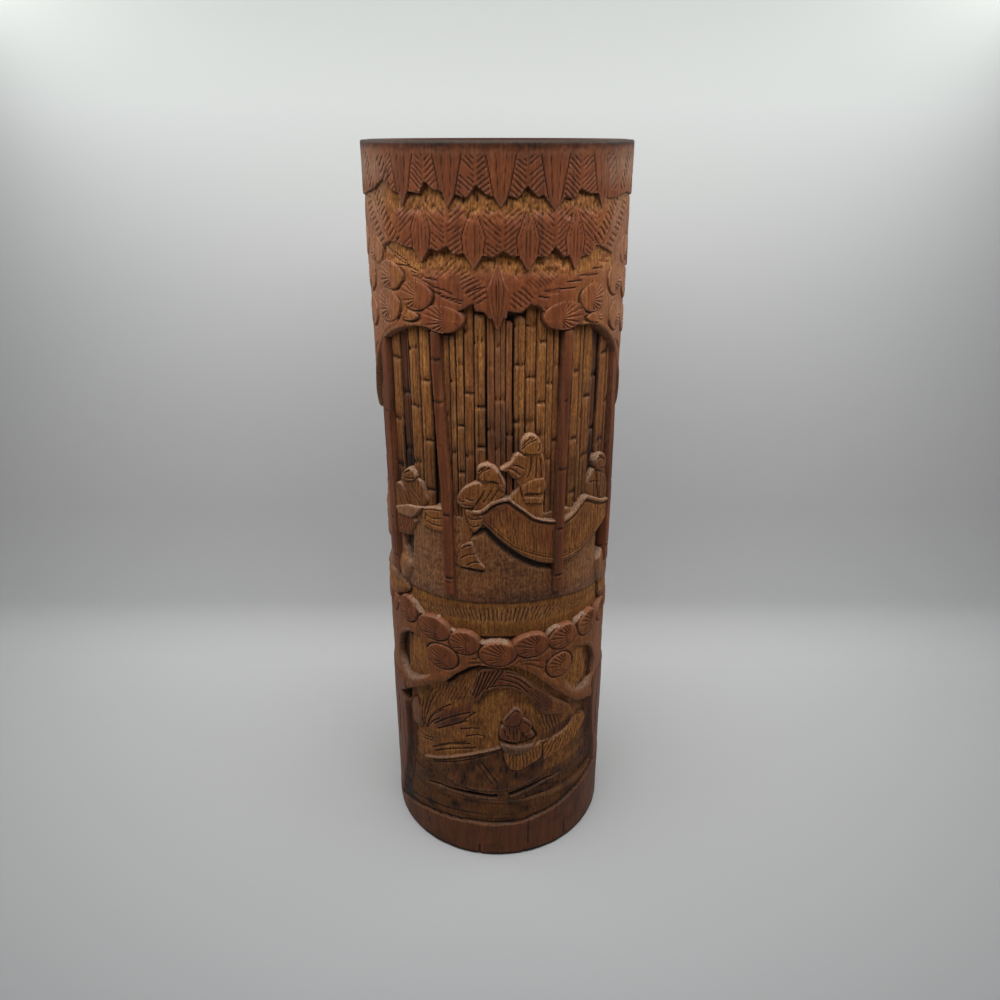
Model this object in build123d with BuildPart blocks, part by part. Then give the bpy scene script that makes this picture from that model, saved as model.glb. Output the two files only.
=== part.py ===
from build123d import *
import os
from math import cos, pi, sin, sqrt

# Driving dimensions of the culm, in millimetres. The front of the vase faces -Y.
skin_radius = 49.2  # outside of the culm, where the bamboo's skin is left standing
wall = 9.2  # from the bore to the skin
rim_round = 1.2
foot_chamfer = 0.8

# Heights of the carved zones, stacked from the table to the rim.
foot_height = 17.0
cove_height = 19.0
river_height = 40.0
swag_height = 45.0
bank_height = 16.0
terrain_height = 33.0
grove_height = 71.0
canopy_height = 53.0
rim_band = 6.0

# Depths of the carved grounds below the skin, and how far the motifs rise from them.
canopy_cut = 1.6
grove_cut = 4.6
stalk_rise = 2.0
figure_rise = 1.8
river_cut = 3.2
river_rise = 2.0
swag_rise = 1.6
cove_cut = 4.0

# The wooden floor, let into a rebate from below and held by a glue line.
floor_thickness = 8.0
floor_inset = 2.0  # floor's underside above the table, so that the culm's foot carries
rebate_step = 3.0
glue_line = 0.1

# Levels and radii that follow from the values above.
river_low = foot_height + cove_height
swag_low = river_low + river_height
bank_low = swag_low + swag_height
terrain_low = bank_low + bank_height
grove_low = terrain_low + terrain_height
canopy_low = grove_low + grove_height
band_low = canopy_low + canopy_height
rim_level = band_low + rim_band
floor_top = floor_inset + floor_thickness
bore_radius = skin_radius - wall
rebate_radius = bore_radius + rebate_step
canopy_radius = skin_radius - canopy_cut
grove_radius = skin_radius - grove_cut
scene_radius = grove_radius + stalk_rise
river_radius = skin_radius - river_cut
swag_radius = river_radius + swag_rise
side_arc = pi * skin_radius / 2  # arc from the front line to the side line
start_margin = 0.5  # a motif's sketch starts this far inside its ground


def chord(arc):
    """Offset from the front plane's middle of a point at an arc length round the skin."""
    return skin_radius * sin(arc / skin_radius)


def facing(arc, height, ground, half_width):
    """Plane that faces outwards at an arc length from the front line, just inside a ground radius."""
    angle = arc / skin_radius
    out = Vector(sin(angle), -cos(angle), 0)
    start = sqrt(ground**2 - chord(half_width) ** 2) - start_margin
    return Plane(out * start + Vector(0, 0, height), x_dir=(cos(angle), sin(angle), 0), z_dir=out)


def raise_motif(ground, top):
    """Draws the sketched motifs out and trims them to the shell between a ground and a top radius."""
    extrude(amount=skin_radius)
    upright = (Align.CENTER, Align.CENTER, Align.MIN)
    Cylinder(top, rim_level, align=upright, mode=Mode.INTERSECT)
    Cylinder(ground, rim_level, align=upright, mode=Mode.SUBTRACT)


def smooth_shape(*points):
    """Face inside one smooth closed line through points given as arc and height."""
    with BuildLine() as edge:
        Spline(*[(chord(arc), height) for arc, height in points], periodic=True)
    make_face(edge.edges())


def smooth_band(upper, lower):
    """Face between two smooth edges that share both ends, through points given as arc and height."""
    with BuildLine() as edge:
        Spline(*[(chord(arc), height) for arc, height in upper])
        Spline(*[(chord(arc), height) for arc, height in lower])
    make_face(edge.edges())


def finish(piece, name):
    """Labels a finished piece and writes it as its own file."""
    piece.part.label = name
    export_step(piece.part, f"parts/{name}.step")


os.makedirs("parts", exist_ok=True)

# Culm: a bamboo tube with the carved grounds sunk in steps below its skin.
with BuildPart() as culm:
    with BuildSketch(Plane.XZ):
        with BuildLine():
            Polyline(
                (rebate_radius, 0),
                (skin_radius, 0),
                (skin_radius, foot_height),
                (river_radius, foot_height),
            )
            ThreePointArc(
                (river_radius, foot_height),
                (skin_radius - cove_cut, foot_height + cove_height / 2),
                (river_radius, river_low),
            )
            Polyline(
                (river_radius, river_low),
                (river_radius, terrain_low),
                (scene_radius, terrain_low),
                (scene_radius, grove_low),
                (grove_radius, grove_low),
                (grove_radius, canopy_low),
                (canopy_radius, canopy_low),
                (canopy_radius, band_low),
                (skin_radius, band_low),
                (skin_radius, rim_level),
                (bore_radius, rim_level),
                (bore_radius, floor_top),
                (rebate_radius, floor_top),
                (rebate_radius, 0),
            )
        make_face()
    revolve(axis=Axis.Z)
    fillet(culm.edges().group_by(Axis.Z)[-1], radius=min(rim_round, wall / 3))
    chamfer(culm.edges().group_by(Axis.Z)[0].sort_by(SortBy.RADIUS)[-1], length=foot_chamfer)
finish(culm, "culm")

# Floor: a turned wooden disc pressed up against the rebate's shoulder.
with BuildPart() as floor_disc:
    with BuildSketch(Plane.XY.offset(floor_inset)):
        Circle(rebate_radius - glue_line)
    extrude(amount=floor_thickness)
    chamfer(floor_disc.edges().group_by(Axis.Z)[0], length=foot_chamfer)
finish(floor_disc, "floor_disc")

# Hanging leaves: tiers of lappets below the rim, each a lance between two wings.
leaf_pitch = 17.9
leaf_middle = 0.7  # arc of the middle lance
leaf_kerf = 1.0  # cut line between neighbouring lappets
leaf_tip = 14.0  # the lance's tip below the lappet's top
wing_tip = 11.0
wing_notch = 8.0
lance_half = 2.6  # half width of the lance where it leaves the wings
middle_drop = 13.5  # top of the middle tier below the rim band
middle_length = 5.0  # the middle tier's lances rise this far above its wings
lower_drop = 35.0
leaf_half = leaf_pitch / 2 - leaf_kerf / 2
wing_half = leaf_pitch / 3
lappet_edge = [
    (-leaf_half, -wing_notch),
    (-wing_half, -wing_tip),
    (-lance_half, -wing_notch - leaf_kerf),
    (0, -leaf_tip),
    (lance_half, -wing_notch - leaf_kerf),
    (wing_half, -wing_tip),
    (leaf_half, -wing_notch),
]


def leaf_planes(steps, top):
    """Planes of a tier of lappets at pitch steps from the middle lance."""
    return [facing(leaf_middle + leaf_pitch * step, top, canopy_radius, leaf_half) for step in steps]


with BuildPart() as rim_leaves:
    side_steps = int(side_arc // leaf_pitch)
    with BuildSketch(*leaf_planes(range(-side_steps, side_steps + 1), band_low)):
        Polygon((-leaf_half, 0), *lappet_edge, (leaf_half, 0), align=None)
    raise_motif(canopy_radius, skin_radius)
    split(bisect_by=Plane.XZ, keep=Keep.TOP)
    mirror(about=Plane.XZ)
finish(rim_leaves, "rim_leaves")

with BuildPart() as middle_leaves:
    with BuildSketch(*leaf_planes((-1.5, -0.5, 0.5, 1.5), band_low - middle_drop - middle_length)):
        Polygon((0, middle_length), (-wing_half, 0), *lappet_edge, (wing_half, 0), align=None)
    raise_motif(canopy_radius, skin_radius)
    mirror(about=Plane.XZ)
finish(middle_leaves, "middle_leaves")

with BuildPart() as lower_lance:
    with BuildSketch(*leaf_planes((0,), band_low - lower_drop)):
        Polygon((0, middle_length), (-lance_half, 0), *lappet_edge[1:-1], (lance_half, 0), align=None)
    raise_motif(canopy_radius, skin_radius)
    mirror(about=Plane.XZ)
finish(lower_lance, "lower_lance")

# Palm leaves: one long pointed leaf on each side of the lowest lance.
palm_length = 24.0
palm_half = 4.5
palm_arc = 20.0  # arc of the leaf's middle from the lance
palm_drop = 42.0  # the leaf's middle below the rim band
with BuildPart() as palm_leaves:
    palm_planes = [
        facing(leaf_middle + side * palm_arc, band_low - palm_drop, canopy_radius, palm_length / 2)
        for side in (-1, 1)
    ]
    with BuildSketch(*palm_planes):
        with BuildLine():
            ThreePointArc((-palm_length / 2, 0), (0, palm_half), (palm_length / 2, 0))
            ThreePointArc((-palm_length / 2, 0), (0, -palm_half), (palm_length / 2, 0))
        make_face()
    raise_motif(canopy_radius, skin_radius)
    mirror(about=Plane.XZ)
finish(palm_leaves, "palm_leaves")

# Canopy arch: the skin left standing over the grove, cut from front to back by a flat-topped arch.
arch_flat = 34.0  # arc at which the arch starts to fall from the canopy's foot
arch_drop = 26.0  # its fall by the side line
arch_flat_half = chord(arch_flat)
with BuildPart() as canopy_arch:
    with BuildSketch(Plane.XZ):
        with Locations((scene_radius, canopy_low)):
            Rectangle(skin_radius - scene_radius, arch_drop, align=(Align.MIN, Align.MAX))
    revolve(axis=Axis.Z)
    with BuildSketch(Plane.XZ):
        with Locations((0, canopy_low - arch_drop)):
            Rectangle(2 * arch_flat_half, arch_drop, align=(Align.CENTER, Align.MIN))
            with Locations((-arch_flat_half, 0), (arch_flat_half, 0)):
                Ellipse(skin_radius - arch_flat_half, arch_drop)
    extrude(amount=skin_radius, both=True, mode=Mode.SUBTRACT)
finish(canopy_arch, "canopy_arch")

# Pine boughs: rounded clumps of needles, as arc, height above the canopy's foot, and two half widths.
left_boughs = [
    (-24, 4.8, 9, 4.8),
    (-37.5, 10.5, 5.5, 5),
    (-48.5, 6.3, 7, 6.3),
    (-46, 15.5, 7, 6.5),
    (-55, 24, 6, 6.5),
    (-61, 13, 6.5, 6.5),
    (-50, 33, 6, 5),
    (-66, 27, 7, 7),
    (-70, 10, 6, 6.5),
]
right_boughs = [
    (24, 4.6, 8.6, 4.6),
    (37.5, 10.5, 5.8, 5),
    (47, 6, 5, 5),
    (48.5, 16.5, 6.5, 6.5),
    (57, 21, 6.5, 7),
    (60, 9, 6, 6.5),
    (51, 32, 6, 5),
    (68, 24, 7, 7),
    (70.5, 10, 6, 6.5),
]
with BuildPart() as pine_boughs:
    for arc, height, half_width, half_height in left_boughs + right_boughs:
        with BuildSketch(facing(arc, canopy_low + height, canopy_radius, half_width)):
            Ellipse(half_width, half_height)
    raise_motif(canopy_radius, skin_radius)
    add(palm_leaves.part, mode=Mode.SUBTRACT)
    add(canopy_arch.part, mode=Mode.SUBTRACT)
    mirror(about=Plane.XZ)
finish(pine_boughs, "pine_boughs")

# Bamboo grove: half-round stalks side by side behind the scene, as arc and width.
stalk_plan = [
    (-73, 5),
    (-67.5, 5),
    (-62, 5),
    (-56.5, 5),
    (-51.5, 4.5),
    (-43, 4.6),
    (-38.3, 4.4),
    (-32.5, 5.4),
    (-27, 4.6),
    (-21.5, 4.4),
    (-16.8, 4.2),
    (-12.6, 3.4),
    (-9.2, 2.8),
    (-5.6, 4),
    (-1.5, 3.8),
    (2.7, 4.2),
    (7.2, 4.4),
    (11.3, 3.4),
    (15.3, 4.2),
    (19.4, 3.6),
    (24, 5),
    (28.8, 3.6),
    (33.5, 4.6),
    (43, 5.4),
    (53, 5),
    (58.2, 4.8),
    (63.4, 5),
    (68.6, 4.8),
    (73.6, 4.8),
]
joint_depth = 0.7  # node grooves across the stalks
joint_width = 1.0
joint_pitch = 22.0
joint_stagger = 7.0  # each stalk's grooves stand this much lower than its neighbour's
with BuildPart() as grove_stalks:
    for arc, width in stalk_plan:
        angle = arc / skin_radius
        centre = scene_radius - width / 2
        with BuildSketch(Plane.XY.offset(grove_low)):
            with Locations((centre * sin(angle), -centre * cos(angle))):
                Circle(width / 2)
        extrude(amount=grove_height)
    Cylinder(
        grove_radius,
        canopy_low,
        align=(Align.CENTER, Align.CENTER, Align.MIN),
        mode=Mode.SUBTRACT,
    )
    for count, (arc, width) in enumerate(stalk_plan):
        first_joint = grove_low + joint_pitch / 2 + joint_stagger * count % joint_pitch
        joint_levels = [first_joint, first_joint + joint_pitch]
        with BuildSketch(*[facing(arc, level, scene_radius - joint_depth, 0) for level in joint_levels]):
            Rectangle(width, joint_width)
        extrude(amount=skin_radius, mode=Mode.SUBTRACT)
    mirror(about=Plane.XZ)
finish(grove_stalks, "grove_stalks")

# Front posts: four tall stalks left at the skin's level, with a notch near each foot.
post_arcs = (-54, -20.8, 24.6, 62)
post_width = 5.0
post_notch = 0.8
post_notch_height = 4.0  # above the post's foot
with BuildPart() as front_posts:
    with BuildSketch(*[facing(arc, terrain_low, scene_radius, post_width / 2) for arc in post_arcs]):
        Rectangle(post_width, canopy_low - terrain_low, align=(Align.CENTER, Align.MIN))
    raise_motif(scene_radius, skin_radius)
    notch_level = terrain_low + post_notch_height
    notch_ground = skin_radius - post_notch
    with BuildSketch(*[facing(arc, notch_level, notch_ground, post_width / 2) for arc in post_arcs]):
        Rectangle(post_width + start_margin, post_notch)
    extrude(amount=skin_radius, mode=Mode.SUBTRACT)
    add(canopy_arch.part, mode=Mode.SUBTRACT)
    mirror(about=Plane.XZ)
finish(front_posts, "front_posts")

# Boat: a wide crescent hull in front of the grove, interrupted by the posts.
scene_top = scene_radius + figure_rise
boat_arc = 22.5
boat_half = 34.5
boat_left = (-boat_half, 3.5)
boat_right = (boat_half, -1.5)
with BuildPart() as boat:
    with BuildSketch(facing(boat_arc, grove_low, scene_radius, boat_half)):
        smooth_band(
            [boat_left, (-19.5, 8.5), (-2.5, -2), (12.5, 4), boat_right],
            [boat_left, (-14.5, -13.5), (-0.5, -19.5), (13.5, -14.5), boat_right],
        )
    raise_motif(scene_radius, scene_top)
    add(front_posts.part, mode=Mode.SUBTRACT)
    mirror(about=Plane.XZ)
finish(boat, "boat")

# Stone table with a draped edge, on the bank at the left.
table_arc = -36.0
table_half = 13.0
with BuildPart() as stone_table:
    with BuildSketch(facing(table_arc, grove_low, scene_radius, table_half)):
        Polygon(
            (-table_half, -0.5),
            (-table_half, -11.5),
            (-4, -10),
            (0, -6),
            (table_half, -7),
            (table_half, 2.5),
            (3, 2),
            align=None,
        )
    raise_motif(scene_radius, scene_top)
    add(front_posts.part, mode=Mode.SUBTRACT)
    mirror(about=Plane.XZ)
finish(stone_table, "stone_table")

# Four small robed figures, each a head and a gown in one relief.
head_width = 4.0
head_height = 5.0


def figure_sketch(head_arc, head_level, *gown):
    """Head and gown, given from the figure's own middle line and the grove's foot."""
    with Locations((head_arc, head_level)):
        Ellipse(head_width / 2, head_height / 2)
    smooth_shape(*gown)


figure_reach = 14.0  # widest half width of a figure

with BuildPart() as bending_figure:
    with BuildSketch(facing(-9, grove_low, scene_radius, figure_reach)):
        figure_sketch(6, 18.5, (10, 13), (4, 17), (-5, 14), (-8, 6), (-6, -6), (-4, -19), (2, -14), (6, 3))
    raise_motif(scene_radius, scene_top)
    add(front_posts.part, mode=Mode.SUBTRACT)
    add(boat.part, mode=Mode.SUBTRACT)
    mirror(about=Plane.XZ)
finish(bending_figure, "bending_figure")

with BuildPart() as standing_figure:
    with BuildSketch(facing(10, grove_low, scene_radius, figure_reach)):
        figure_sketch(1.5, 29.5, (2, 27.5), (-6, 23), (-7, 12), (-6, 3), (5, 1), (7, 12), (6, 22))
    raise_motif(scene_radius, scene_top)
    add(boat.part, mode=Mode.SUBTRACT)
    add(bending_figure.part, mode=Mode.SUBTRACT)
    mirror(about=Plane.XZ)
finish(standing_figure, "standing_figure")

with BuildPart() as right_figure:
    with BuildSketch(facing(48, grove_low, scene_radius, figure_reach)):
        figure_sketch(-2, 18.5, (-2, 16.5), (-8, 10), (-10, 2), (-4, -1), (8, -2), (9, 6), (4, 14))
    raise_motif(scene_radius, scene_top)
    add(front_posts.part, mode=Mode.SUBTRACT)
    add(boat.part, mode=Mode.SUBTRACT)
    mirror(about=Plane.XZ)
finish(right_figure, "right_figure")

with BuildPart() as left_figure:
    with BuildSketch(facing(-41, grove_low, scene_radius, figure_reach)):
        figure_sketch(0.5, 16.5, (0.5, 14.5), (-6, 9), (-8, 2), (-4, -1), (4, 0), (8, 3), (6, 10))
    raise_motif(scene_radius, scene_top)
    add(front_posts.part, mode=Mode.SUBTRACT)
    add(stone_table.part, mode=Mode.SUBTRACT)
    mirror(about=Plane.XZ)
finish(left_figure, "left_figure")

# Swag ledge: a raised belt over the river scene, cut from front to back by a lopsided arch.
swag_crown = (-2.5, 28.5)  # offset from the middle line, and height above the swag's foot
swag_spring_left = (-39.0, 10.0)
swag_spring_right = (33.7, 2.0)
knot_arc = 43.0
knot_height = 23.0
knot_radius = 8.0
knot_ring = 3.5
knot_planes = [
    facing(arc, swag_low + knot_height, river_radius, knot_radius + knot_ring) for arc in (-knot_arc, knot_arc)
]
with BuildPart() as swag_ledge:
    with BuildSketch(Plane.XZ):
        with Locations((river_radius, swag_low)):
            Rectangle(swag_rise, swag_height, align=Align.MIN)
    revolve(axis=Axis.Z)
    with BuildSketch(Plane.XZ.shift_origin((0, 0, swag_low))):
        with BuildLine():
            ThreePointArc(swag_spring_left, swag_crown, swag_spring_right)
            Polyline(swag_spring_right, (swag_spring_right[0], 0), (swag_spring_left[0], 0), swag_spring_left)
        make_face()
    extrude(amount=skin_radius, both=True, mode=Mode.SUBTRACT)
    with BuildSketch(*knot_planes):
        Circle(knot_radius)
    knot_holes = extrude(amount=skin_radius, mode=Mode.SUBTRACT)
    mirror(knot_holes, about=Plane.XZ, mode=Mode.SUBTRACT)
finish(swag_ledge, "swag_ledge")

# Swag boughs: clumps along the belt, as arc, height above the belt's top, and two half widths.
swag_clumps = [
    (-72, -3, 6, 6),
    (-59, -4, 6, 6),
    (-46, 0, 7.4, 7),
    (-30, -2.5, 8.5, 6.3),
    (-24.5, -14, 7, 6.3),
    (-15, -5.5, 6.6, 6.2),
    (-1, -8.7, 7.6, 6.2),
    (13, -6.5, 6.6, 6.2),
    (12, -15, 5, 4),
    (28, -4.5, 7, 6),
    (27, -15, 6.8, 6),
    (43, -4, 7.2, 7),
    (58, -4, 7, 6.5),
    (72, -2, 6, 6),
]
with BuildPart() as swag_boughs:
    for arc, height, half_width, half_height in swag_clumps:
        with BuildSketch(facing(arc, bank_low + height, river_radius, half_width)):
            Ellipse(half_width, half_height)
    raise_motif(river_radius, skin_radius)
    add(swag_ledge.part, mode=Mode.SUBTRACT)
    mirror(about=Plane.XZ)
finish(swag_boughs, "swag_boughs")

# Knot rings: a raised collar round each hollow of the belt.
with BuildPart() as knot_rings:
    with BuildSketch(*knot_planes):
        Circle(knot_radius + knot_ring)
        Circle(knot_radius, mode=Mode.SUBTRACT)
    raise_motif(river_radius, skin_radius)
    add(swag_ledge.part, mode=Mode.SUBTRACT)
    add(swag_boughs.part, mode=Mode.SUBTRACT)
    mirror(about=Plane.XZ)
finish(knot_rings, "knot_rings")

# Thatched roof: a bent band under the belt's arch.
river_top = river_radius + river_rise
roof_arc = 8.0
roof_half = 26.0
roof_band = 7.0
roof_left = (-22.0, 4.0)
roof_crown = (-6.0, 23.0)
roof_right = (roof_half, -4.0)
eave_left = (roof_left[0] + roof_band, roof_left[1])
eave_crown = (roof_crown[0], roof_crown[1] - roof_band)
eave_right = (roof_right[0] - roof_band, roof_right[1])
with BuildPart() as thatched_roof:
    with BuildSketch(facing(roof_arc, swag_low, river_radius, roof_half)):
        with BuildLine():
            ThreePointArc(roof_left, roof_crown, roof_right)
            Line(roof_right, eave_right)
            ThreePointArc(eave_right, eave_crown, eave_left)
            Line(eave_left, roof_left)
        make_face()
    raise_motif(river_radius, river_top)
    add(swag_ledge.part, mode=Mode.SUBTRACT)
    mirror(about=Plane.XZ)
finish(thatched_roof, "thatched_roof")

# Sampan: the long low hull in the river scene.
sampan_arc = 6.0
sampan_half = 38.0
sampan_left = (-sampan_half, 13.0)
sampan_right = (sampan_half, 33.0)
with BuildPart() as sampan:
    with BuildSketch(facing(sampan_arc, river_low, river_radius, sampan_half)):
        smooth_band(
            [sampan_left, (-24, 17), (-8, 22.5), (14, 22), (28, 30), sampan_right],
            [sampan_left, (-30, 6), (-14, 2), (4, 4), (24, 14), sampan_right],
        )
    raise_motif(river_radius, river_top)
    mirror(about=Plane.XZ)
finish(sampan, "sampan")

with BuildPart() as boatman:
    with BuildSketch(facing(8, swag_low, river_radius, figure_reach)):
        figure_sketch(-1.5, 4, (-1.5, 2), (-6, -2), (-8, -12), (-2, -18), (6, -18), (8, -10), (4, -1))
    raise_motif(river_radius, river_top)
    add(sampan.part, mode=Mode.SUBTRACT)
    add(thatched_roof.part, mode=Mode.SUBTRACT)
    mirror(about=Plane.XZ)
finish(boatman, "boatman")

# Side pillars: the skin left standing at each side of the river scene.
pillar_arc = 50.0  # arc at which the pillars start
with BuildPart() as side_pillars:
    with BuildSketch(Plane.XZ):
        with Locations((river_radius, foot_height)):
            Rectangle(river_cut, swag_low - foot_height, align=Align.MIN)
    revolve(axis=Axis.Z)
    with BuildSketch(Plane.XZ):
        with Locations((0, foot_height)):
            Rectangle(2 * chord(pillar_arc), swag_low - foot_height, align=(Align.CENTER, Align.MIN))
    extrude(amount=skin_radius, both=True, mode=Mode.SUBTRACT)
finish(side_pillars, "side_pillars")
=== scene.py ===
import math

import bpy
import numpy as np
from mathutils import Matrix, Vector


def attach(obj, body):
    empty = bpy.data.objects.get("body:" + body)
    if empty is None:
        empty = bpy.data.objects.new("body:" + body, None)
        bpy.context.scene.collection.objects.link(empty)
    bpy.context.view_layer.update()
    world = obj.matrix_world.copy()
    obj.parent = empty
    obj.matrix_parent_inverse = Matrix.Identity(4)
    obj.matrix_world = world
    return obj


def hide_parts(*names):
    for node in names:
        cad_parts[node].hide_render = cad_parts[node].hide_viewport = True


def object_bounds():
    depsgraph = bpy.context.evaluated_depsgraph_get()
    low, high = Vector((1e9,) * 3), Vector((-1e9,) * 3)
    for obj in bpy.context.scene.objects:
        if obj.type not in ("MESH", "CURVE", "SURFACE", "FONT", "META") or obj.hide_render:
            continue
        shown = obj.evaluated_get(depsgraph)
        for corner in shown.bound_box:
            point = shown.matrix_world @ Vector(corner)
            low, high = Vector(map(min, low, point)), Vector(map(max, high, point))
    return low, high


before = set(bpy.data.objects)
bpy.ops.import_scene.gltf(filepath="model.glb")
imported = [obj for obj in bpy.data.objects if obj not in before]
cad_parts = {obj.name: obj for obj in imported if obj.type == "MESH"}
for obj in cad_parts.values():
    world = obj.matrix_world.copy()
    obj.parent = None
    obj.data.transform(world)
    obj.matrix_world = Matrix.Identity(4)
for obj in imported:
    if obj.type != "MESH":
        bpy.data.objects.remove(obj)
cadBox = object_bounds()
print("frame loaded")

# Carving is laid out flat: u runs round the skin from the front line, z up from the table, both in mm.
# Depths are in mm below the skin. The unseen back repeats the front, mirrored.
# Each carve function gives the depth and up to three shares: the first is stain, the second is dirt and
# painted shade, and the third is wear and painted highlight. Its numbers are arcs, levels, widths and depths
# in mm, and softNoise takes two sizes in mm and a seed.
mm = 0.001
skinRadius = (cadBox[1].x - cadBox[0].x) / 2 / mm
rimLevel = round(cadBox[1].z / mm, 3)
sideArc = math.pi * skinRadius / 2
boreDepth = 9.2


def softNoise(u, z, sizeU, sizeZ, seed):
    lattice = np.random.default_rng(seed).uniform(-1, 1, (128, 128))
    x = u / sizeU + 320
    y = z / sizeZ + 320
    i = np.floor(x).astype(int)
    j = np.floor(y).astype(int)
    fx = (x - i) ** 2 * (3 - 2 * (x - i))
    fy = (y - j) ** 2 * (3 - 2 * (y - j))
    i = i % 127
    j = j % 127
    low = lattice[i, j] * (1 - fx) + lattice[i + 1, j] * fx
    high = lattice[i, j + 1] * (1 - fx) + lattice[i + 1, j + 1] * fx
    return low * (1 - fy) + high * fy


def insideOutline(u, z, points):  # distance to a closed outline, plus inside and minus outside
    points = np.asarray(points, float)
    away = np.full(u.shape, 1e9)
    odd = np.zeros(u.shape, bool)
    for (u0, z0), (u1, z1) in zip(points, np.roll(points, -1, axis=0)):
        du = u1 - u0
        dz = z1 - z0
        t = np.clip(((u - u0) * du + (z - z0) * dz) / (du * du + dz * dz), 0, 1)
        away = np.minimum(away, np.hypot(u - u0 - t * du, z - z0 - t * dz))
        rise = dz if dz else 1e-9
        odd ^= ((z0 > z) != (z1 > z)) & (u < u0 + (z - z0) * du / rise)
    return np.where(odd, away, -away)


def nearLine(u, z, points):  # distance to an open line
    away = np.full(u.shape, 1e9)
    for (u0, z0), (u1, z1) in zip(points[:-1], points[1:]):
        du = u1 - u0
        dz = z1 - z0
        t = np.clip(((u - u0) * du + (z - z0) * dz) / (du * du + dz * dz), 0, 1)
        away = np.minimum(away, np.hypot(u - u0 - t * du, z - z0 - t * dz))
    return away


def smoothPoints(points, closed=True, steps=5):  # Catmull-Rom line through given points
    points = np.asarray(points, float)
    count = len(points)
    made = []
    for k in range(count if closed else count - 1):
        if closed:
            a, b, c, d = (points[(k + n) % count] for n in (-1, 0, 1, 2))
        else:
            a, b, c, d = (points[min(max(k + n, 0), count - 1)] for n in (-1, 0, 1, 2))
        for t in np.arange(steps) / steps:
            made.append(b + (c - a) * t / 2 + (a - 2.5 * b + 2 * c - d / 2) * t**2
                        + (-a / 2 + 1.5 * b - 1.5 * c + d / 2) * t**3)
    if not closed:
        made.append(points[-1])
    return np.array(made)


def insideCurve(u, z, points):  # distance to a smooth closed outline
    return insideOutline(u, z, smoothPoints(points))


def nearCurve(u, z, points):  # distance to a smooth open line
    return nearLine(u, z, smoothPoints(points, closed=False))


def groove(away, width, depth):  # V cut
    return depth * np.clip(1 - away / (width / 2), 0, 1)


def strokes(t, pitch, width, depth):  # parallel V cuts, t is the distance across them
    return groove(np.abs((t / pitch + 0.5) % 1 - 0.5) * pitch, width, depth)


def fanStrokes(u, z, focus, step, width, depth):  # V cuts that spread from a point
    bearing = np.arctan2(z - focus[1], u - focus[0]) / math.radians(step)
    reach = np.hypot(u - focus[0], z - focus[1])
    return groove(np.abs((bearing + 0.5) % 1 - 0.5) * math.radians(step) * reach, width, depth)


def fade(value, low, high):  # 0 at low, 1 at high, eased
    t = np.clip((value - low) / (high - low), 0, 1)
    return t * t * (3 - 2 * t)


def standing(inside, level, shoulder, drop, wall=5.0):  # level ground with a round shoulder and a steep wall
    lip = np.clip(1 - inside / shoulder, 0, 1)
    return level + drop * lip**2 + wall * np.clip(-inside, 0, None)


def boxBlur(field, reach):
    for axis in (0, 1):
        pad = [(reach + 1, reach) if k == axis else (0, 0) for k in (0, 1)]
        total = np.cumsum(np.pad(field, pad, mode="edge"), axis=axis)
        size = field.shape[axis]
        high = np.take(total, np.arange(2 * reach + 1, 2 * reach + 1 + size), axis=axis)
        low = np.take(total, np.arange(size), axis=axis)
        field = (high - low) / (2 * reach + 1)
    return field


# Each patch has a fine ripple and a slow sway, as height and size. What lies lower than its surroundings is
# painted dark as dirt and painted shade, what stands higher is rubbed, and what faces up is a ledge painted
# paler, with less dirt and shade and more dust and painted light from above.
surface = {
    "ripple": (0.05, (0.7, 9)),
    "sway": (0.06, (3, 4)),
    "backGap": 0.4,
    "edge": 0.9,
    "ledgeFrom": 0.3,
    "grimeAndShade": 0.92,
    "grimeAndShadeStep": 0.26,
    "ledgeCleanAndLit": 0.7,
    "wearStep": 0.55,
}


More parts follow.
